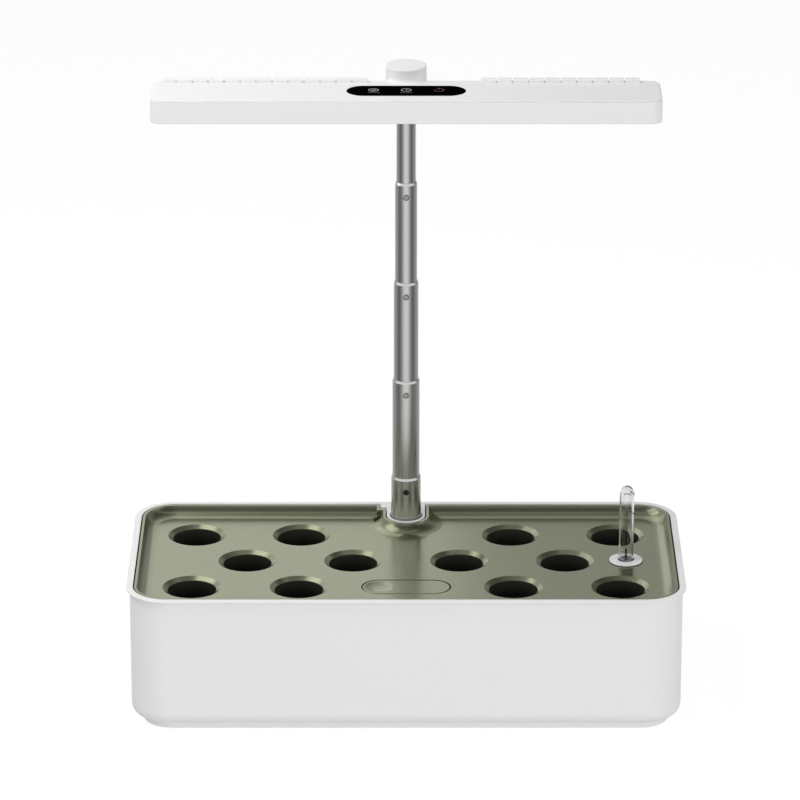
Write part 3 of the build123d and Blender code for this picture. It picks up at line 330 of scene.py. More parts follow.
@dataclass(frozen=True)
class Moulded(Finish):
    """Injection-moulded ABS or PP.

    A fine spark-eroded grain from the tool takes the edge off the gloss, and the colour
    drifts by a hair over a long wall.
    """

    colour: str
    rough: float = 0.36
    grain_mm: float = 0.5
    grain_depth_mm: float = 0.006
    drift: float = 0.985       # the darkest stretch against the colour
    drift_mm: float = 60.0
    rough_swing: float = 0.05

    def make(self) -> bpy.types.Material:
        """Build the material."""
        material, tree, shader = self.start(IOR=1.53)
        base = linear(self.colour)
        tint = tuple(c * self.drift for c in base[:3]) + (1.0,)
        colour = self.blend(tree, self.noise(tree, self.drift_mm), base, tint)
        tree.links.new(colour, shader.inputs["Base Color"])
        grain = self.noise(tree, self.grain_mm, 1.0)
        tree.links.new(span(tree, grain, self.rough - self.rough_swing,
                            self.rough + self.rough_swing), shader.inputs["Roughness"])
        self.bump(tree, shader, grain, self.grain_depth_mm)
        return material


@dataclass(frozen=True)
class SprayedLacquer(Finish):
    """Metallic lacquer sprayed from above over a black moulding.

    The flakes lie flat, so it mirrors softly like satin metal.  Below the mouths of the
    holes the walls are painted dark olive, fading down to the black of the moulding: painted
    shade inside the holes.
    """

    colour: str
    # the black moulding, which deep in the holes also serves as painted shade
    body: str
    # dark olive painted shade on the hole walls just below the film
    haze: str
    paint_foot_mm: float       # where the full film ends in the holes
    painted_shade_foot_mm: float        # where the painted shade reaches the body colour
    foot_blur_mm: float = 0.15  # how soft the film's end is, to each side
    flake_mm: float = 0.35     # a real flake is 0.03 mm; drawn coarser so that it shows
    flake_dim: float = 0.88    # the darkest flake against the colour
    peel_mm: float = 2.6       # orange peel of the sprayed film
    peel_depth_mm: float = 0.004
    metal: float = 0.88
    rough: float = 0.23
    bare_rough: float = 0.55   # of the bare moulding below the film
    turned_under: tuple = (-0.25, -0.05)    # faces that point lower stay bare

    def make(self) -> bpy.types.Material:
        """Build the material."""
        material, tree, shader = self.start(IOR=1.5)
        at = add_node(tree, "ShaderNodeTexCoord")
        split = add_node(tree, "ShaderNodeSeparateXYZ", sockets={0: at.outputs["Object"]})
        facing = add_node(tree, "ShaderNodeSeparateXYZ", sockets={0: at.outputs["Normal"]})
        foot = self.paint_foot_mm * MM
        edge = self.foot_blur_mm * MM
        high = span(tree, split.outputs["Z"], 0.0, 1.0, foot - edge, foot + edge)
        up = span(tree, facing.outputs["Z"], 0.0, 1.0, *self.turned_under)
        film = add_node(tree, "ShaderNodeMath", {"operation": "MULTIPLY"},
                        {0: high, 1: up}).outputs[0]
        # Painted shade in the holes: the walls darken from the dark olive below the film to
        # the body colour lower down.
        hole_shade_fade = span(tree, split.outputs["Z"], 0.0, 1.0, self.painted_shade_foot_mm * MM, foot)
        under = self.blend(tree, hole_shade_fade, linear(self.body), linear(self.haze))
        flake = add_node(tree, "ShaderNodeTexVoronoi", sockets={
            "Vector": self.place(tree), "Scale": 1.0 / (self.flake_mm * MM)})
        lit = linear(self.colour)
        dim = tuple(c * self.flake_dim for c in lit[:3]) + (1.0,)
        speck = add_node(tree, "ShaderNodeSeparateColor",
                         sockets={0: flake.outputs["Color"]})
        paint = self.blend(tree, speck.outputs[0], dim, lit)
        tree.links.new(self.blend(tree, film, under, paint), shader.inputs["Base Color"])
        tree.links.new(span(tree, film, 0.0, self.metal), shader.inputs["Metallic"])
        tree.links.new(span(tree, film, self.bare_rough, self.rough),
                       shader.inputs["Roughness"])
        self.bump(tree, shader, self.noise(tree, self.peel_mm, 1.0), self.peel_depth_mm)
        return material


@dataclass(frozen=True)
class DrawnAluminium(Finish):
    """Satin anodised aluminium tube.

    Drawing leaves faint lines along the tube, and the anodised skin spreads the
    reflections into soft upright bands.
    """

    colour: str = "#D3D2D1"
    rough: float = 0.25
    line_mm: float = 0.35      # drawing lines are finer; this coarse so that they show
    line_stretch: Place = (1.0, 1.0, 0.01)
    line_dim: float = 0.95
    line_depth_mm: float = 0.0015
    rough_swing: tuple = (-0.03, 0.04)

    def make(self) -> bpy.types.Material:
        """Build the material."""
        material, tree, shader = self.start(Metallic=1.0)
        lines = self.noise(tree, self.line_mm, 3.0, self.line_stretch)
        lit = linear(self.colour)
        dim = tuple(c * self.line_dim for c in lit[:3]) + (1.0,)
        tree.links.new(self.blend(tree, lines, dim, lit), shader.inputs["Base Color"])
        low, high = (self.rough + swing for swing in self.rough_swing)
        tree.links.new(span(tree, lines, low, high), shader.inputs["Roughness"])
        self.bump(tree, shader, lines, self.line_depth_mm)
        return material


@dataclass(frozen=True)
class ZincSteel(Finish):
    """Zinc-plated or passivated steel of screws, pins and springs.

    The plating is a little cloudy, so its gloss is uneven at half a millimetre.
    """

    colour: str = "#B9BBBC"
    rough: float = 0.3
    cloud_mm: float = 0.5
    cloud_dim: float = 0.8
    rough_swing: tuple = (-0.1, 0.12)

    def make(self) -> bpy.types.Material:
        """Build the material."""
        material, tree, shader = self.start(Metallic=1.0)
        cloud = self.noise(tree, self.cloud_mm, 3.0)
        lit = linear(self.colour)
        dim = tuple(c * self.cloud_dim for c in lit[:3]) + (1.0,)
        tree.links.new(self.blend(tree, cloud, dim, lit), shader.inputs["Base Color"])
        low, high = (self.rough + swing for swing in self.rough_swing)
        tree.links.new(span(tree, cloud, low, high), shader.inputs["Roughness"])
        return material


@dataclass(frozen=True)
class ClearAcrylic(Finish):
    """Polished clear acrylic tube, with a trace of flow lines along it."""

    colour: str = "#EFF0F1"
    line_mm: float = 1.2
    line_stretch: Place = (1.0, 1.0, 0.05)
    rough: tuple = (0.01, 0.05)

    def make(self) -> bpy.types.Material:
        """Build the material."""
        material, tree, shader = self.start(IOR=1.49, Transmission_Weight=1.0)
        shader.inputs["Base Color"].default_value = linear(self.colour)
        lines = self.noise(tree, self.line_mm, 1.0, self.line_stretch)
        tree.links.new(span(tree, lines, *self.rough), shader.inputs["Roughness"])
        return material


@dataclass(frozen=True)
class MilkyAcrylic(Finish):
    """Milky acrylic with a stippled face, which hides the single lights behind it."""

    colours: tuple = ("#F4F4F1", "#E9E9E5")     # of the pits and of their rims
    stipple_mm: float = 1.1
    stipple_depth_mm: float = 0.12
    cloud_mm: float = 12.0
    rough: tuple = (0.38, 0.5)

    def make(self) -> bpy.types.Material:
        """Build the material."""
        material, tree, shader = self.start(IOR=1.49, Subsurface_Weight=0.4,
                                            Subsurface_Scale=0.003)
        stipple = add_node(tree, "ShaderNodeTexVoronoi", {"feature": "SMOOTH_F1"}, {
            "Vector": self.place(tree), "Scale": 1.0 / (self.stipple_mm * MM)})
        pit, rim = (linear(colour) for colour in self.colours)
        tree.links.new(self.blend(tree, stipple.outputs["Distance"], pit, rim),
                       shader.inputs["Base Color"])
        tree.links.new(span(tree, self.noise(tree, self.cloud_mm), *self.rough),
                       shader.inputs["Roughness"])
        self.bump(tree, shader, stipple.outputs["Distance"], self.stipple_depth_mm)
        return material


@dataclass(frozen=True)
class BlackGlass(Finish):
    """Back-printed polycarbonate touch panel under an anti-glare coat.

    The coat cancels nearly all of the mirror image, so the panel stays deep black even
    when it is seen at a low angle against a bright room.
    """

    colours: tuple = ("#020203", "#050506")
    haze_mm: float = 9.0
    rough: tuple = (0.1, 0.2)

    def make(self) -> bpy.types.Material:
        """Build the material."""
        material, tree, shader = self.start(IOR=1.55, Specular_IOR_Level=0.0)
        haze = self.noise(tree, self.haze_mm, 3.0)
        deep, pale = (linear(colour) for colour in self.colours)
        tree.links.new(self.blend(tree, haze, deep, pale), shader.inputs["Base Color"])
        tree.links.new(span(tree, haze, *self.rough), shader.inputs["Roughness"])
        return material


@dataclass(frozen=True)
class MouldedRubber(Finish):
    """Soft black rubber: dull, with a faint bloom on its high spots."""

    colour: str = "#232324"
    bloom_colour: str = "#343436"
    bloom_mm: float = 1.6
    bloom_depth_mm: float = 0.03
    rough: tuple = (0.7, 0.85)

    def make(self) -> bpy.types.Material:
        """Build the material."""
        material, tree, shader = self.start(IOR=1.5)
        bloom = self.noise(tree, self.bloom_mm, 3.0)
        tree.links.new(self.blend(tree, bloom, linear(self.colour),
                                  linear(self.bloom_colour)), shader.inputs["Base Color"])
        tree.links.new(span(tree, bloom, *self.rough), shader.inputs["Roughness"])
        self.bump(tree, shader, bloom, self.bloom_depth_mm)
        return material


@dataclass(frozen=True)
class CellFoam(Finish):
    """Foam with open or closed cells: the pits of the cells are painted darker than their
    walls, as painted shade in the hollows.
    """

    wall: str
    # painted shade in the cells' pits
    pit: str
    cell_mm: float
    depth_mm: float
    wall_share: tuple = (0.03, 0.2)     # of a cell, where its wall ends and its pit starts

    def make(self) -> bpy.types.Material:
        """Build the material."""
        material, tree, shader = self.start(IOR=1.45, Roughness=0.9)
        cell = add_node(tree, "ShaderNodeTexVoronoi", {"feature": "DISTANCE_TO_EDGE"}, {
            "Vector": self.place(tree), "Scale": 1.0 / (self.cell_mm * MM)})
        # The pits take the darker colour: painted shade in the hollows.
        pit = span(tree, cell.outputs["Distance"], 0.0, 1.0, *self.wall_share)
        tree.links.new(self.blend(tree, pit, linear(self.wall), linear(self.pit)),
                       shader.inputs["Base Color"])
        turned = span(tree, pit, 1.0, 0.0)
        self.bump(tree, shader, turned, self.depth_mm)
        return material


@dataclass(frozen=True)
class SolderMask(Finish):
    """Coated circuit board: coloured solder mask with slightly raised tracks under it."""

    colour: str
    track: str
    pitch_mm: float = 3.0
    stagger: float = 0.35
    track_share: float = 0.09
    track_depth_mm: float = 0.03
    cloud_mm: float = 4.0
    rough: tuple = (0.28, 0.4)

    def make(self) -> bpy.types.Material:
        """Build the material."""
        material, tree, shader = self.start(IOR=1.52)
        wave = add_node(tree, "ShaderNodeTexBrick", {"offset": self.stagger}, {
            "Vector": self.place(tree), "Scale": 1.0 / (self.pitch_mm * MM),
            "Mortar Size": self.track_share, "Color1": linear(self.colour),
            "Color2": linear(self.colour), "Mortar": linear(self.track)})
        tree.links.new(wave.outputs["Color"], shader.inputs["Base Color"])
        tree.links.new(span(tree, self.noise(tree, self.cloud_mm), *self.rough),
                       shader.inputs["Roughness"])
        self.bump(tree, shader, wave.outputs["Fac"], self.track_depth_mm)
        return material


@dataclass(frozen=True)
class LedPhosphor(Finish):
    """Silicone with yellow phosphor grains over the chip."""

    colours: tuple = ("#F1D45B", "#F7E79A")
    grain_mm: float = 0.3
    rough: tuple = (0.2, 0.4)

    def make(self) -> bpy.types.Material:
        """Build the material."""
        material, tree, shader = self.start(IOR=1.42, Subsurface_Weight=0.3,
                                            Subsurface_Scale=0.0008)
        grit = self.noise(tree, self.grain_mm)
        deep, pale = (linear(colour) for colour in self.colours)
        tree.links.new(self.blend(tree, grit, deep, pale), shader.inputs["Base Color"])
        tree.links.new(span(tree, grit, *self.rough), shader.inputs["Roughness"])
        return material


@dataclass(frozen=True)
class ScreenInk(Finish):
    """Screen-printed ink, with the mesh's faint unevenness."""

    colour: str
    rough: float = 0.4
    thin: float = 0.85         # the thinnest ink against the colour
    mesh_mm: float = 0.25
    rough_swing: tuple = (-0.05, 0.1)

    def make(self) -> bpy.types.Material:
        """Build the material."""
        material, tree, shader = self.start(IOR=1.5)
        base = linear(self.colour)
        dim = tuple(c * self.thin for c in base[:3]) + (1.0,)
        mesh = self.noise(tree, self.mesh_mm, 1.0)
        tree.links.new(self.blend(tree, mesh, base, dim), shader.inputs["Base Color"])
        low, high = (self.rough + swing for swing in self.rough_swing)
        tree.links.new(span(tree, mesh, low, high), shader.inputs["Roughness"])
        return material


WHITE_ABS = Moulded("white_abs", "#F1F1F1")
GREY_ABS = Moulded("grey_abs", "#6A6C69", 0.4)
BLACK_ABS = Moulded("black_abs", "#17181A", 0.42, 0.5, 0.01, 0.9)
RED_ABS = Moulded("red_abs", "#7E151C", 0.25, 0.5, 0.003)
# Its two dark colours are the black moulding and the painted shade in the holes.
SAGE_LACQUER = SprayedLacquer("sage_lacquer", "#969A80", "#070706", "#2C2C21", 87.4, 78.0)
TUBE_ALUMINIUM = DrawnAluminium("anodised_aluminium")
ZINC = ZincSteel("zinc_steel")
BUTTON_STEEL = ZincSteel("passivated_steel", "#A2A3A0", 0.24)
# A darker copy of the button steel for the lowest snap button: painted shade for the dark
# reflection it shows.
SHADED_BUTTON_STEEL = ZincSteel("shaded_button_steel", "#454643", 0.3)
CLEAR_TUBE = ClearAcrylic("clear_acrylic")
DIFFUSER = MilkyAcrylic("milky_acrylic")
TOUCH_GLASS = BlackGlass("black_polycarbonate")
RUBBER = MouldedRubber("black_rubber")
# The second colour of each foam is painted shade in the pits of its cells.
FLOAT_FOAM = CellFoam("white_float_foam", "#F4F4F1", "#DEDEDA", 1.8, 0.12)
SPONGE = CellFoam("filter_sponge", "#2D2E30", "#050506", 1.3, 0.8)
LIGHT_BOARD = SolderMask("white_solder_mask", "#ECEDEA", "#D9DAD6", 6.0)
GREEN_BOARD = SolderMask("green_solder_mask", "#14572F", "#1F7A45")
PHOSPHOR = LedPhosphor("led_phosphor")
GREY_INK = ScreenInk("grey_ink", "#A9ABAC")
RED_INK = ScreenInk("red_ink", "#5E171A")
DARK_INK = ScreenInk("dark_ink", "#26282B")
PALE_INK = ScreenInk("pale_ink", "#8C9094")


@dataclass
class Palette:
    """Makes each finish once and hands it out."""

    made: dict[str, bpy.types.Material] = field(default_factory=dict)

    def get(self, finish: Finish) -> bpy.types.Material:
        """The material of a finish."""
        if finish.name not in self.made:
            self.made[finish.name] = finish.make()
        return self.made[finish.name]

    def paint(self, finish: Finish, *nodes: str) -> None:
        """Dress carried-over pieces in a finish.

        Args:
            finish: the finish.
            nodes: the names of the pieces.
        """
        for name in nodes:
            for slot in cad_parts[name].material_slots:
                slot.material = self.get(finish)
            log.info("%s: %s", name, finish.name)


@dataclass
class Assembly:
    """A group of pieces that is built and dressed together."""

    palette: Palette

    def fit(self, piece: bpy.types.Object, finish: Finish, body: str, slot: str) -> None:
        """Dress a new piece and let it ride on a body.

        Args:
            piece: the piece, at the origin.
            finish: its finish.
            body: the body that carries it.
            slot: the record's material slot; not used.
        """
        dress(piece, self.palette.get(finish))
        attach(piece, body)
        log.info("%s: %s, on %s", piece.name, finish.name, body)


# ---------------------------------------------------------------- the garden
@dataclass
class Tank(Assembly):
    """The water tank with its plinth, feet, inlet and driver board."""

    def build(self) -> None:
        """Dress the tank's pieces."""
        self.palette.paint(WHITE_ABS, "tank", "base_cover")
        self.palette.paint(RUBBER, "rubber_feet")
        self.palette.paint(ZINC, "base_screws", "mast_screw")
        self.palette.paint(BLACK_ABS, "dc_jack", "mast_plug")
        self.palette.paint(GREY_ABS, "mast_bush")
        self.palette.paint(GREEN_BOARD, "power_board")


@dataclass
class Deck(Assembly):
    """The planting deck with its filler flap."""

    def build(self) -> None:
        """Dress the deck's pieces."""
        self.palette.paint(SAGE_LACQUER, "deck", "filler_flap")
        self.palette.paint(ZINC, "flap_pin")


@dataclass
class Gauge(Assembly):
    """The water gauge: bezel, clear tube, stem and float.

    Its scale is printed on the back of the tube and read through it.
    """

    mark_proud: float = 0.03 * MM
    full_drop: float = 5.8 * MM
    low_drop: float = 19.7 * MM
    mark_half_angle: float = 36.0
    tick_drop: float = 2.1 * MM
    deck_floor: float = 89.5 * MM
    mark_height: float = 1.3 * MM
    tick_height: float = 1.2 * MM
    tick_count: int = 5
    tick_sweep: float = 9.0        # degrees
    tick_pitch: float = 15.0       # degrees
    # Two thin dark rings, in the rubber finish, that are painted shade at the tube's foot and
    # at the bezel's foot.
    shade_ring_width: float = 0.4 * MM
    shade_ring_height: float = 0.24 * MM
    gap_ring_size: float = 0.3 * MM
    guide_radius: float = 4.0 * MM
    guide_hole: float = 1.8 * MM
    guide_height: float = 1.0 * MM
    guide_drop: float = 0.6 * MM   # of the guide's middle below the bezel's face

    def build(self) -> None:
        """Dress the gauge and add its painted-shade rings, stem guide and scale."""
        self.palette.paint(WHITE_ABS, "gauge_body")
        self.palette.paint(CLEAR_TUBE, "gauge_tube")
        self.palette.paint(RED_ABS, "float_stem")
        self.palette.paint(FLOAT_FOAM, "float_block")
        low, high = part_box("gauge_tube")
        self.axis = Vector(((low.x + high.x) / 2, (low.y + high.y) / 2, 0.0))
        self.radius = (high.x - low.x) / 2
        bezel_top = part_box("gauge_body")[1].z
        self.shade_rings_and_guide(bezel_top)
        self.scale(high.z)

    def shade_rings_and_guide(self, bezel_top: float) -> None:
        """Put thin dark rings of painted shade round the bezel's and the tube's foot, and the
        stem's guide.

        Args:
            bezel_top: the height of the bezel's face.
        """
        half = self.shade_ring_height / 2
        # A dark ring round the tube's foot: painted shade of the crease where the tube meets
        # the bezel.
        ring = spun_bar("tube_foot_shade_ring", (self.axis.x, self.axis.y, bezel_top + half),
                        self.radius + self.shade_ring_height, self.shade_ring_width, self.shade_ring_height)
        self.fit(ring, RUBBER, "deck", "rubber")
        # A dark ring round the bezel's foot: painted shade of the gap between the bezel and
        # the deck.
        low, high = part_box("gauge_body")
        half = self.gap_ring_size / 2
        gap_ring = spun_bar("bezel_foot_shade_ring", (self.axis.x, self.axis.y, self.deck_floor + half),
                       (high.x - low.x) / 2 + half, self.gap_ring_size, self.gap_ring_size)
        self.fit(gap_ring, RUBBER, "deck", "rubber")
        middle = (self.guide_radius + self.guide_hole) / 2
        guide = spun_bar("stem_guide",
                         (self.axis.x, self.axis.y, bezel_top - self.guide_drop),
                         middle, self.guide_radius - self.guide_hole, self.guide_height)
        self.fit(guide, WHITE_ABS, "deck", "white_plastic")

    def mark(self, name: str, z: float, height: float, start: float,
             sweep: float) -> bpy.types.Object:
        """One printed bar on the tube.

        Args:
            name: the bar's name.
            z: the height of its middle.
            height: how tall it is.
            start: where it starts, in degrees from +X.
            sweep: how far it goes round.

        Returns:
            The bar.
        """
        return spun_bar(name, (self.axis.x, self.axis.y, z),
                        self.radius + self.mark_proud / 2, self.mark_proud, height, start,
                        sweep, max(2, int(sweep / 4)))

    def scale(self, top: float) -> None:
        """Print the full and empty marks on the tube.

        Args:
            top: the height of the tube's dome.
        """
        for name, drop, side in (("gauge_mark_full", self.full_drop, -1),
                                 ("gauge_mark_low", self.low_drop, 1)):
            z = top - drop
            half = self.mark_half_angle
            bars = [self.mark(name, z, self.mark_height, 90 - half, 2 * half)]
            for i in range(self.tick_count):
                turn = 90 + (i - self.tick_count // 2) * self.tick_pitch
                bars.append(self.mark(name + "_tick", z + side * self.tick_drop,
                                      self.tick_height, turn - self.tick_sweep / 2,
                                      self.tick_sweep))
            self.fit(join(bars, name), DARK_INK, "deck", "black_plastic")


@dataclass
class Mast(Assembly):
    """The five telescopic tubes with their snap buttons."""

    stages: int = 5

    def build(self) -> None:
        """Dress the tubes, buttons and springs."""
        tubes = [f"mast_tube_{i}" for i in range(1, self.stages + 1)]
        self.palette.paint(TUBE_ALUMINIUM, *tubes)
        for i in range(1, self.stages):
            # The lowest button is painted darker: painted shade.
            self.palette.paint(SHADED_BUTTON_STEEL if i == 1 else BUTTON_STEEL, f"snap_button_{i}")
            self.palette.paint(ZINC, f"button_spring_{i}")


class KeySymbol(Enum):
    """What a lit key shows."""

    LIGHT = "light"
    TIMER = "timer"
    POWER = "power"


@dataclass
class Lamp(Assembly):
    """The grow lamp: casing, light window, light board and touch keys."""

    key_pitch: float = 21.5 * MM
    ring_radius: float = 3.2 * MM
    line: float = 0.55 * MM
    print_height: float = 0.04 * MM
    dash_edge: float = 0.01 * MM
    ring_back: float = 1.6 * MM
    power_gap: float = 60.0        # degrees left open in the power key's ring
    inner_ring: float = 0.4        # the rest are shares of the ring's radius
    clock_hand: float = 0.55
    power_bar: float = 1.1
    power_bar_back: float = 0.8
    dots_front: float = 4.3 * MM
    dot_count: int = 5
    dot_pitch: float = 1.7 * MM
    dot_length: float = 1.0 * MM

    def build(self) -> None:
        """Dress the lamp and print its keys."""
        self.palette.paint(WHITE_ABS, "lamp_tray", "lamp_lid")
        self.palette.paint(DIFFUSER, "diffuser")
        self.palette.paint(LIGHT_BOARD, "led_board")
        self.palette.paint(PHOSPHOR, "led_chips")
        self.palette.paint(TOUCH_GLASS, "touch_panel")
        self.palette.paint(GREEN_BOARD, "touch_board")
        self.palette.paint(ZINC, "lamp_screws", "mast_set_screw")
        self.palette.paint(BLACK_ABS, "mast_socket")
        low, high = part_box("touch_panel")
        middle = (low + high) / 2
        face = high.z
        for i, symbol in enumerate(KeySymbol):
            x = middle.x + (i - 1) * self.key_pitch
            self.key(symbol, (x, middle.y, face))

    def arc(self, at: Place, radius: float, start: float, sweep: float) -> bpy.types.Object:
        """One printed ring or arc.

        Args:
            at: the middle of the ring, on the panel's face.
            radius: of the line's middle.
            start: where it starts, in degrees.
            sweep: how far it goes round.

        Returns:
            The arc.
        """
        return spun_bar("arc", (at[0], at[1], at[2] + self.print_height / 2), radius,
                        self.line, self.print_height, start, sweep, max(4, int(sweep / 10)))

    def dash(self, at: Place, length: float, turn: float) -> bpy.types.Object:
        """One printed dash.

        Args:
            at: its middle, on the panel's face.
            length: how long it is.
            turn: its direction, in degrees from +X.

        Returns:
            The dash.
        """
        return soft_block("dash", (at[0], at[1], at[2] + self.print_height / 2),
                          (length, self.line, self.print_height), self.dash_edge, turn)

    def key(self, symbol: KeySymbol, at: Place) -> None:
        """Print one key's symbol, and a row of dots in front of it where it has steps.

        Args:
            symbol: what the key shows.
            at: the middle of the key, on the panel's face.
        """
        ring_at = (at[0], at[1] + self.ring_back, at[2])
        if symbol is KeySymbol.POWER:
            back = ring_at[1] + self.power_bar_back * self.ring_radius
            marks = [self.arc(ring_at, self.ring_radius, 90 + self.power_gap / 2,
                              360 - self.power_gap),
                     self.dash((ring_at[0], back, at[2]),
                               self.power_bar * self.ring_radius, 90)]
            self.fit(join(marks, "key_power"), RED_INK, "lamp", "red_plastic")
        else:
            marks = [self.arc(ring_at, self.ring_radius, 0, 360)]
            if symbol is KeySymbol.LIGHT:
                marks.append(self.arc(ring_at, self.inner_ring * self.ring_radius, 0, 360))
            else:
                reach = self.clock_hand * self.ring_radius
                marks.append(self.dash((ring_at[0], ring_at[1] + reach / 2, at[2]), reach, 90))
                marks.append(self.dash((ring_at[0] + reach / 2, ring_at[1], at[2]), reach, 0))
            self.fit(join(marks, "key_" + symbol.value), GREY_INK, "lamp", "grey_plastic")
            dots = []
            for i in range(self.dot_count):
                x = at[0] + (i - self.dot_count // 2) * self.dot_pitch
                dots.append(self.dash((x, at[1] - self.dots_front, at[2]),
                                      self.dot_length, 0))
            self.fit(join(dots, f"key_{symbol.value}_steps"), PALE_INK, "lamp",
                     "grey_plastic")


@dataclass
class Pump(Assembly):
    """The circulation pump on the tank's floor."""

    def build(self) -> None:
        """Dress the pump's pieces."""
        self.palette.paint(BLACK_ABS, "pump_body", "pump_cover")
        self.palette.paint(GREY_ABS, "pump_impeller")
        self.palette.paint(ZINC, "impeller_shaft")
        self.palette.paint(SPONGE, "intake_sponge")
        self.palette.paint(RUBBER, "suction_cups")


# ---------------------------------------------------------------- light and camera
@dataclass(frozen=True)
class SoftBox:
    """One soft light: where it stands, its face and its power."""

    name: str
    at: Place
    target: Place
    width: float
    height: float
    watts: float
    mirrored: bool = True      # whether glossy surfaces show it
    lights: bool = True        # whether it lights matt surfaces

    def build(self) -> None:
        """Add the light to the scene."""
        data = bpy.data.lights.new(self.name, "AREA")
        data.shape, data.size, data.size_y = "RECTANGLE", self.width, self.height
        data.energy = self.watts
        lamp = bpy.data.objects.new(self.name, data)
        lamp.location = self.at
        aim = Vector(self.target) - Vector(self.at)
        lamp.rotation_euler = aim.to_track_quat("-Z", "Y").to_euler()
        lamp.visible_camera = False
        lamp.visible_glossy = self.mirrored
        lamp.visible_diffuse = self.lights
        bpy.context.scene.collection.objects.link(lamp)
        log.info("light %s: %.1f W", self.name, self.watts)


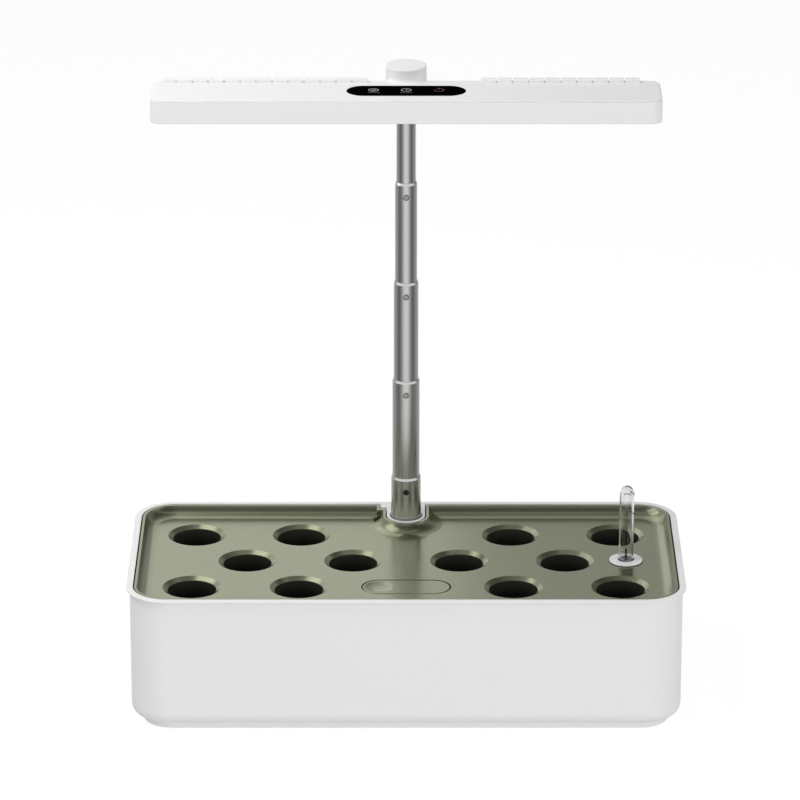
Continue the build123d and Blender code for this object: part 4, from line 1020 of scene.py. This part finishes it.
@dataclass
class Studio:
    """Pale table, soft lights, bright backdrop and the camera."""

    lens_mm: float = 225.0
    camera_at: Place = (-0.0041, -3.1133, 1.3636)
    camera_pitch: float = 69.57
    floor_side: float = 14.0
    # Directions have a length of 1: X to the right, Y to the back, Z up.
    ambient: float = 0.5                  # even light on matt surfaces
    ambient_shares: tuple = (0.62, 1.05)  # of it, from the left and from the rest
    ambient_from: tuple = (-1.0, 0.1)     # the X between which it changes
    haze: float = 0.6                     # band round the horizon, as mirrors see it
    haze_right: float = 0.5               # share of it on the right
    haze_top: tuple = (0.4, 0.55)         # the Z between which it ends
    haze_turn: tuple = (-0.2, 0.2)        # the Y between which the front turns to the back
    front_haze: float = 1.0               # the band's brightness in front
    right_dim: float = 0.12               # share of the ceiling's brightness on the right
    right_from: tuple = (-0.05, 0.55)     # the X between which left turns to right
    horizon: tuple = (-0.12, 0.04)        # the Z between which below turns to above
    past_dim: float = 0.02                # what clear pieces see above the horizon
    past_fade: tuple = (-0.02, 0.12)      # the Z between which it darkens
    floor_glow: float = 0.84              # the table's own light, seen straight
    bounce: float = 0.53                  # the light that it gives matt surfaces
    table_tones: tuple = ("#7C7C7C", "#888888")   # to other rays, and seen straight
    card: float = 0.03                    # the dark cards' brightness
    left_card: tuple = (0.1, 0.14)        # the X between which the left card ends
    right_card: tuple = (0.26, 0.3)       # the X between which the right one starts
    card_front: tuple = (0.08, 0.15)      # the Y between which both start
    above: tuple = ((-0.93, 0.45), (-0.8, 0.35), (-0.6, 0.06), (-0.35, 0.2), (0.0, 0.28),
                    (0.2, 0.32), (0.5, 0.62), (0.75, 0.82), (0.93, 0.6))
    below: tuple = ((-0.94, 0.98), (-0.87, 0.75), (-0.7, 0.27), (-0.4, 0.1), (-0.1, 0.2),
                    (0.07, 0.34), (0.6, 0.45), (0.9, 1.0))
    boxes: tuple = (
        SoftBox("key", (0.2, -2.3, 1.9), (0.0, 0.0, 0.15), 1.6, 1.3, 6.2, mirrored=False),
        SoftBox("low", (0.12, -0.85, 0.05), (0.0, 0.0, 0.03), 1.6, 0.08, 1.15, mirrored=False),
        SoftBox("fill", (1.9, -1.8, 1.2), (0.0, 0.0, 0.15), 1.4, 1.2, 9.8, mirrored=False),
        SoftBox("top", (-0.66, -0.19, 1.19), (0.0, 0.0, 0.09), 0.7, 0.7, 6.5, mirrored=False),
        SoftBox("panel", (-0.38, 0.05, 0.55), (0.0, 0.0, 0.09), 0.42, 0.42, 0.9, lights=False),
        SoftBox("strip", (-0.455, 0.78, 1.03), (0.0, 0.0, 0.09), 0.6, 0.6, 0.7, lights=False),
        SoftBox("card", (-0.3, 0.8, 0.38), (-0.1, 0.0, 0.09), 0.7, 0.62, 0.58, lights=False))

    def build(self) -> None:
        """Set up camera, world, table and lights."""
        scene = bpy.context.scene
        scene.view_settings.view_transform = "Standard"
        self.camera(scene)
        self.world(scene)
        self.table()
        for box in self.boxes:
            box.build()

    def camera(self, scene: bpy.types.Scene) -> None:
        """Place the camera.

        Args:
            scene: the scene it looks at.
        """
        data = bpy.data.cameras.new("camera")
        data.lens, data.sensor_width, data.clip_end = self.lens_mm, 36.0, 100.0
        view = bpy.data.objects.new("camera", data)
        view.location = self.camera_at
        view.rotation_euler = (math.radians(self.camera_pitch), 0.0, 0.0)
        scene.collection.objects.link(view)
        scene.camera = view

    def ramp(self, tree: bpy.types.NodeTree, value: bpy.types.NodeSocket,
             stops: tuple) -> bpy.types.NodeSocket:
        """Turn -1..1 into a brightness.

        Args:
            tree: the world's tree.
            value: the number's socket.
            stops: pairs of number and brightness, in rising order.

        Returns:
            The socket that gives the brightness.
        """
        share = span(tree, value, 0.0, 1.0, -1.0, 1.0)
        made = add_node(tree, "ShaderNodeValToRGB", sockets={0: share})
        marks = made.color_ramp.elements
        while len(marks) < len(stops):
            marks.new(1.0)
        for mark, (at, shade) in zip(marks, stops):
            mark.position = (at + 1.0) / 2
            mark.color = (shade, shade, shade, 1.0)
        return made.outputs["Color"]

    def world(self, scene: bpy.types.Scene) -> None:
        """A white backdrop, even light, and what mirrors and glass see around them.

        Reflections find a dim ceiling that darkens towards the front and the right, a
        lighter band round the horizon, and below it a bright strip in front, dark sides
        and a white back.

        Args:
            scene: the scene that it surrounds.
        """
        world = bpy.data.worlds.new("studio")
        scene.world = world
        world.use_nodes = True
        tree = world.node_tree
        tree.nodes.clear()
        at = add_node(tree, "ShaderNodeTexCoord")
        way = add_node(tree, "ShaderNodeSeparateXYZ", sockets={0: at.outputs["Generated"]})
        x, y, z = (way.outputs[axis] for axis in "XYZ")
        right = span(tree, x, 1.0, self.right_dim, *self.right_from)
        ceiling = add_node(tree, "ShaderNodeMixRGB", {"blend_type": "MULTIPLY"}, {
            "Fac": 1.0, "Color1": self.ramp(tree, y, self.above), "Color2": right})
        side = span(tree, x, self.haze, self.haze_right * self.haze, *self.right_from)
        band = span(tree, y, self.front_haze, side, *self.haze_turn)
        low = span(tree, z, 1.0, 0.0, *self.haze_top)
        over = add_node(tree, "ShaderNodeMixRGB", sockets={
            "Fac": low, "Color1": ceiling.outputs["Color"], "Color2": band})
        up = span(tree, z, 0.0, 1.0, *self.horizon)
        around = add_node(tree, "ShaderNodeMixRGB", sockets={
            "Fac": up, "Color1": self.ramp(tree, y, self.below),
            "Color2": over.outputs["Color"]})
        past = span(tree, z, 1.0, self.past_dim, *self.past_fade)
        ray = add_node(tree, "ShaderNodeLightPath")
        left, rest = (share * self.ambient for share in self.ambient_shares)
        colour: object = span(tree, x, left, rest, *self.ambient_from)
        for kind, seen in ((ray.outputs["Is Glossy Ray"], around.outputs["Color"]),
                           (ray.outputs["Is Transmission Ray"], past),
                           (ray.outputs["Is Camera Ray"], (1.0, 1.0, 1.0, 1.0))):
            colour = add_node(tree, "ShaderNodeMixRGB", sockets={
                "Fac": kind, "Color1": colour, "Color2": seen}).outputs["Color"]
        glow = add_node(tree, "ShaderNodeBackground", sockets={
            "Color": colour, "Strength": 1.0})
        add_node(tree, "ShaderNodeOutputWorld", sockets={"Surface": glow.outputs[0]})

    def table(self) -> None:
        """A white table that keeps a faint shadow under the garden.

        Light that comes through the gauge's tube finds dark cards lying behind it to the
        left and the right, which draw the tube's outline.
        """
        deselect()
        bpy.ops.mesh.primitive_plane_add(size=self.floor_side)
        floor = bpy.context.object
        floor.name = "table"
        material = bpy.data.materials.new("white_table")
        material.use_nodes = True
        tree = material.node_tree
        tree.nodes.clear()
        ray = add_node(tree, "ShaderNodeLightPath")
        seen = add_node(tree, "ShaderNodeMath", {"operation": "MAXIMUM"}, {
            0: ray.outputs["Is Camera Ray"], 1: ray.outputs["Is Transmission Ray"]})
        at = add_node(tree, "ShaderNodeTexCoord")
        split = add_node(tree, "ShaderNodeSeparateXYZ", sockets={0: at.outputs["Object"]})
        left = span(tree, split.outputs["X"], self.card, 1.0, *self.left_card)
        across = span(tree, split.outputs["X"], left, self.card, *self.right_card)
        along = span(tree, split.outputs["Y"], 1.0, self.card, *self.card_front)
        flag = add_node(tree, "ShaderNodeMath", {"operation": "MAXIMUM"}, {
            0: across, 1: along})
        shade = add_node(tree, "ShaderNodeMixRGB", sockets={
            "Fac": ray.outputs["Is Transmission Ray"], "Color1": (1.0, 1.0, 1.0, 1.0),
            "Color2": flag.outputs[0]})
        others, straight = (linear(tone) for tone in self.table_tones)
        tone = add_node(tree, "ShaderNodeMixRGB", sockets={
            "Fac": seen.outputs[0], "Color1": others, "Color2": straight})
        shaded = add_node(tree, "ShaderNodeMixRGB", {"blend_type": "MULTIPLY"}, {
            "Fac": 1.0, "Color1": tone.outputs["Color"], "Color2": shade.outputs["Color"]})
        matt = add_node(tree, "ShaderNodeBsdfDiffuse", sockets={
            "Color": shaded.outputs["Color"]})
        glow = add_node(tree, "ShaderNodeEmission", sockets={
            "Color": shade.outputs["Color"],
            "Strength": span(tree, seen.outputs[0], self.bounce, self.floor_glow)})
        both = add_node(tree, "ShaderNodeAddShader", sockets={
            0: matt.outputs[0], 1: glow.outputs[0]})
        clear = add_node(tree, "ShaderNodeBsdfTransparent")
        shown = add_node(tree, "ShaderNodeMixShader", sockets={
            0: ray.outputs["Is Glossy Ray"], 1: both.outputs[0], 2: clear.outputs[0]})
        add_node(tree, "ShaderNodeOutputMaterial", sockets={"Surface": shown.outputs[0]})
        dress(floor, material)


def main() -> None:
    """Build the garden and its studio."""
    logging.basicConfig(level=logging.INFO, format="%(message)s")
    palette = Palette()
    Studio().build()
    for part in (Tank, Deck, Gauge, Mast, Lamp, Pump):
        part(palette).build()
        log.info("%s done", part.__name__)


if __name__ == "__main__":
    main()
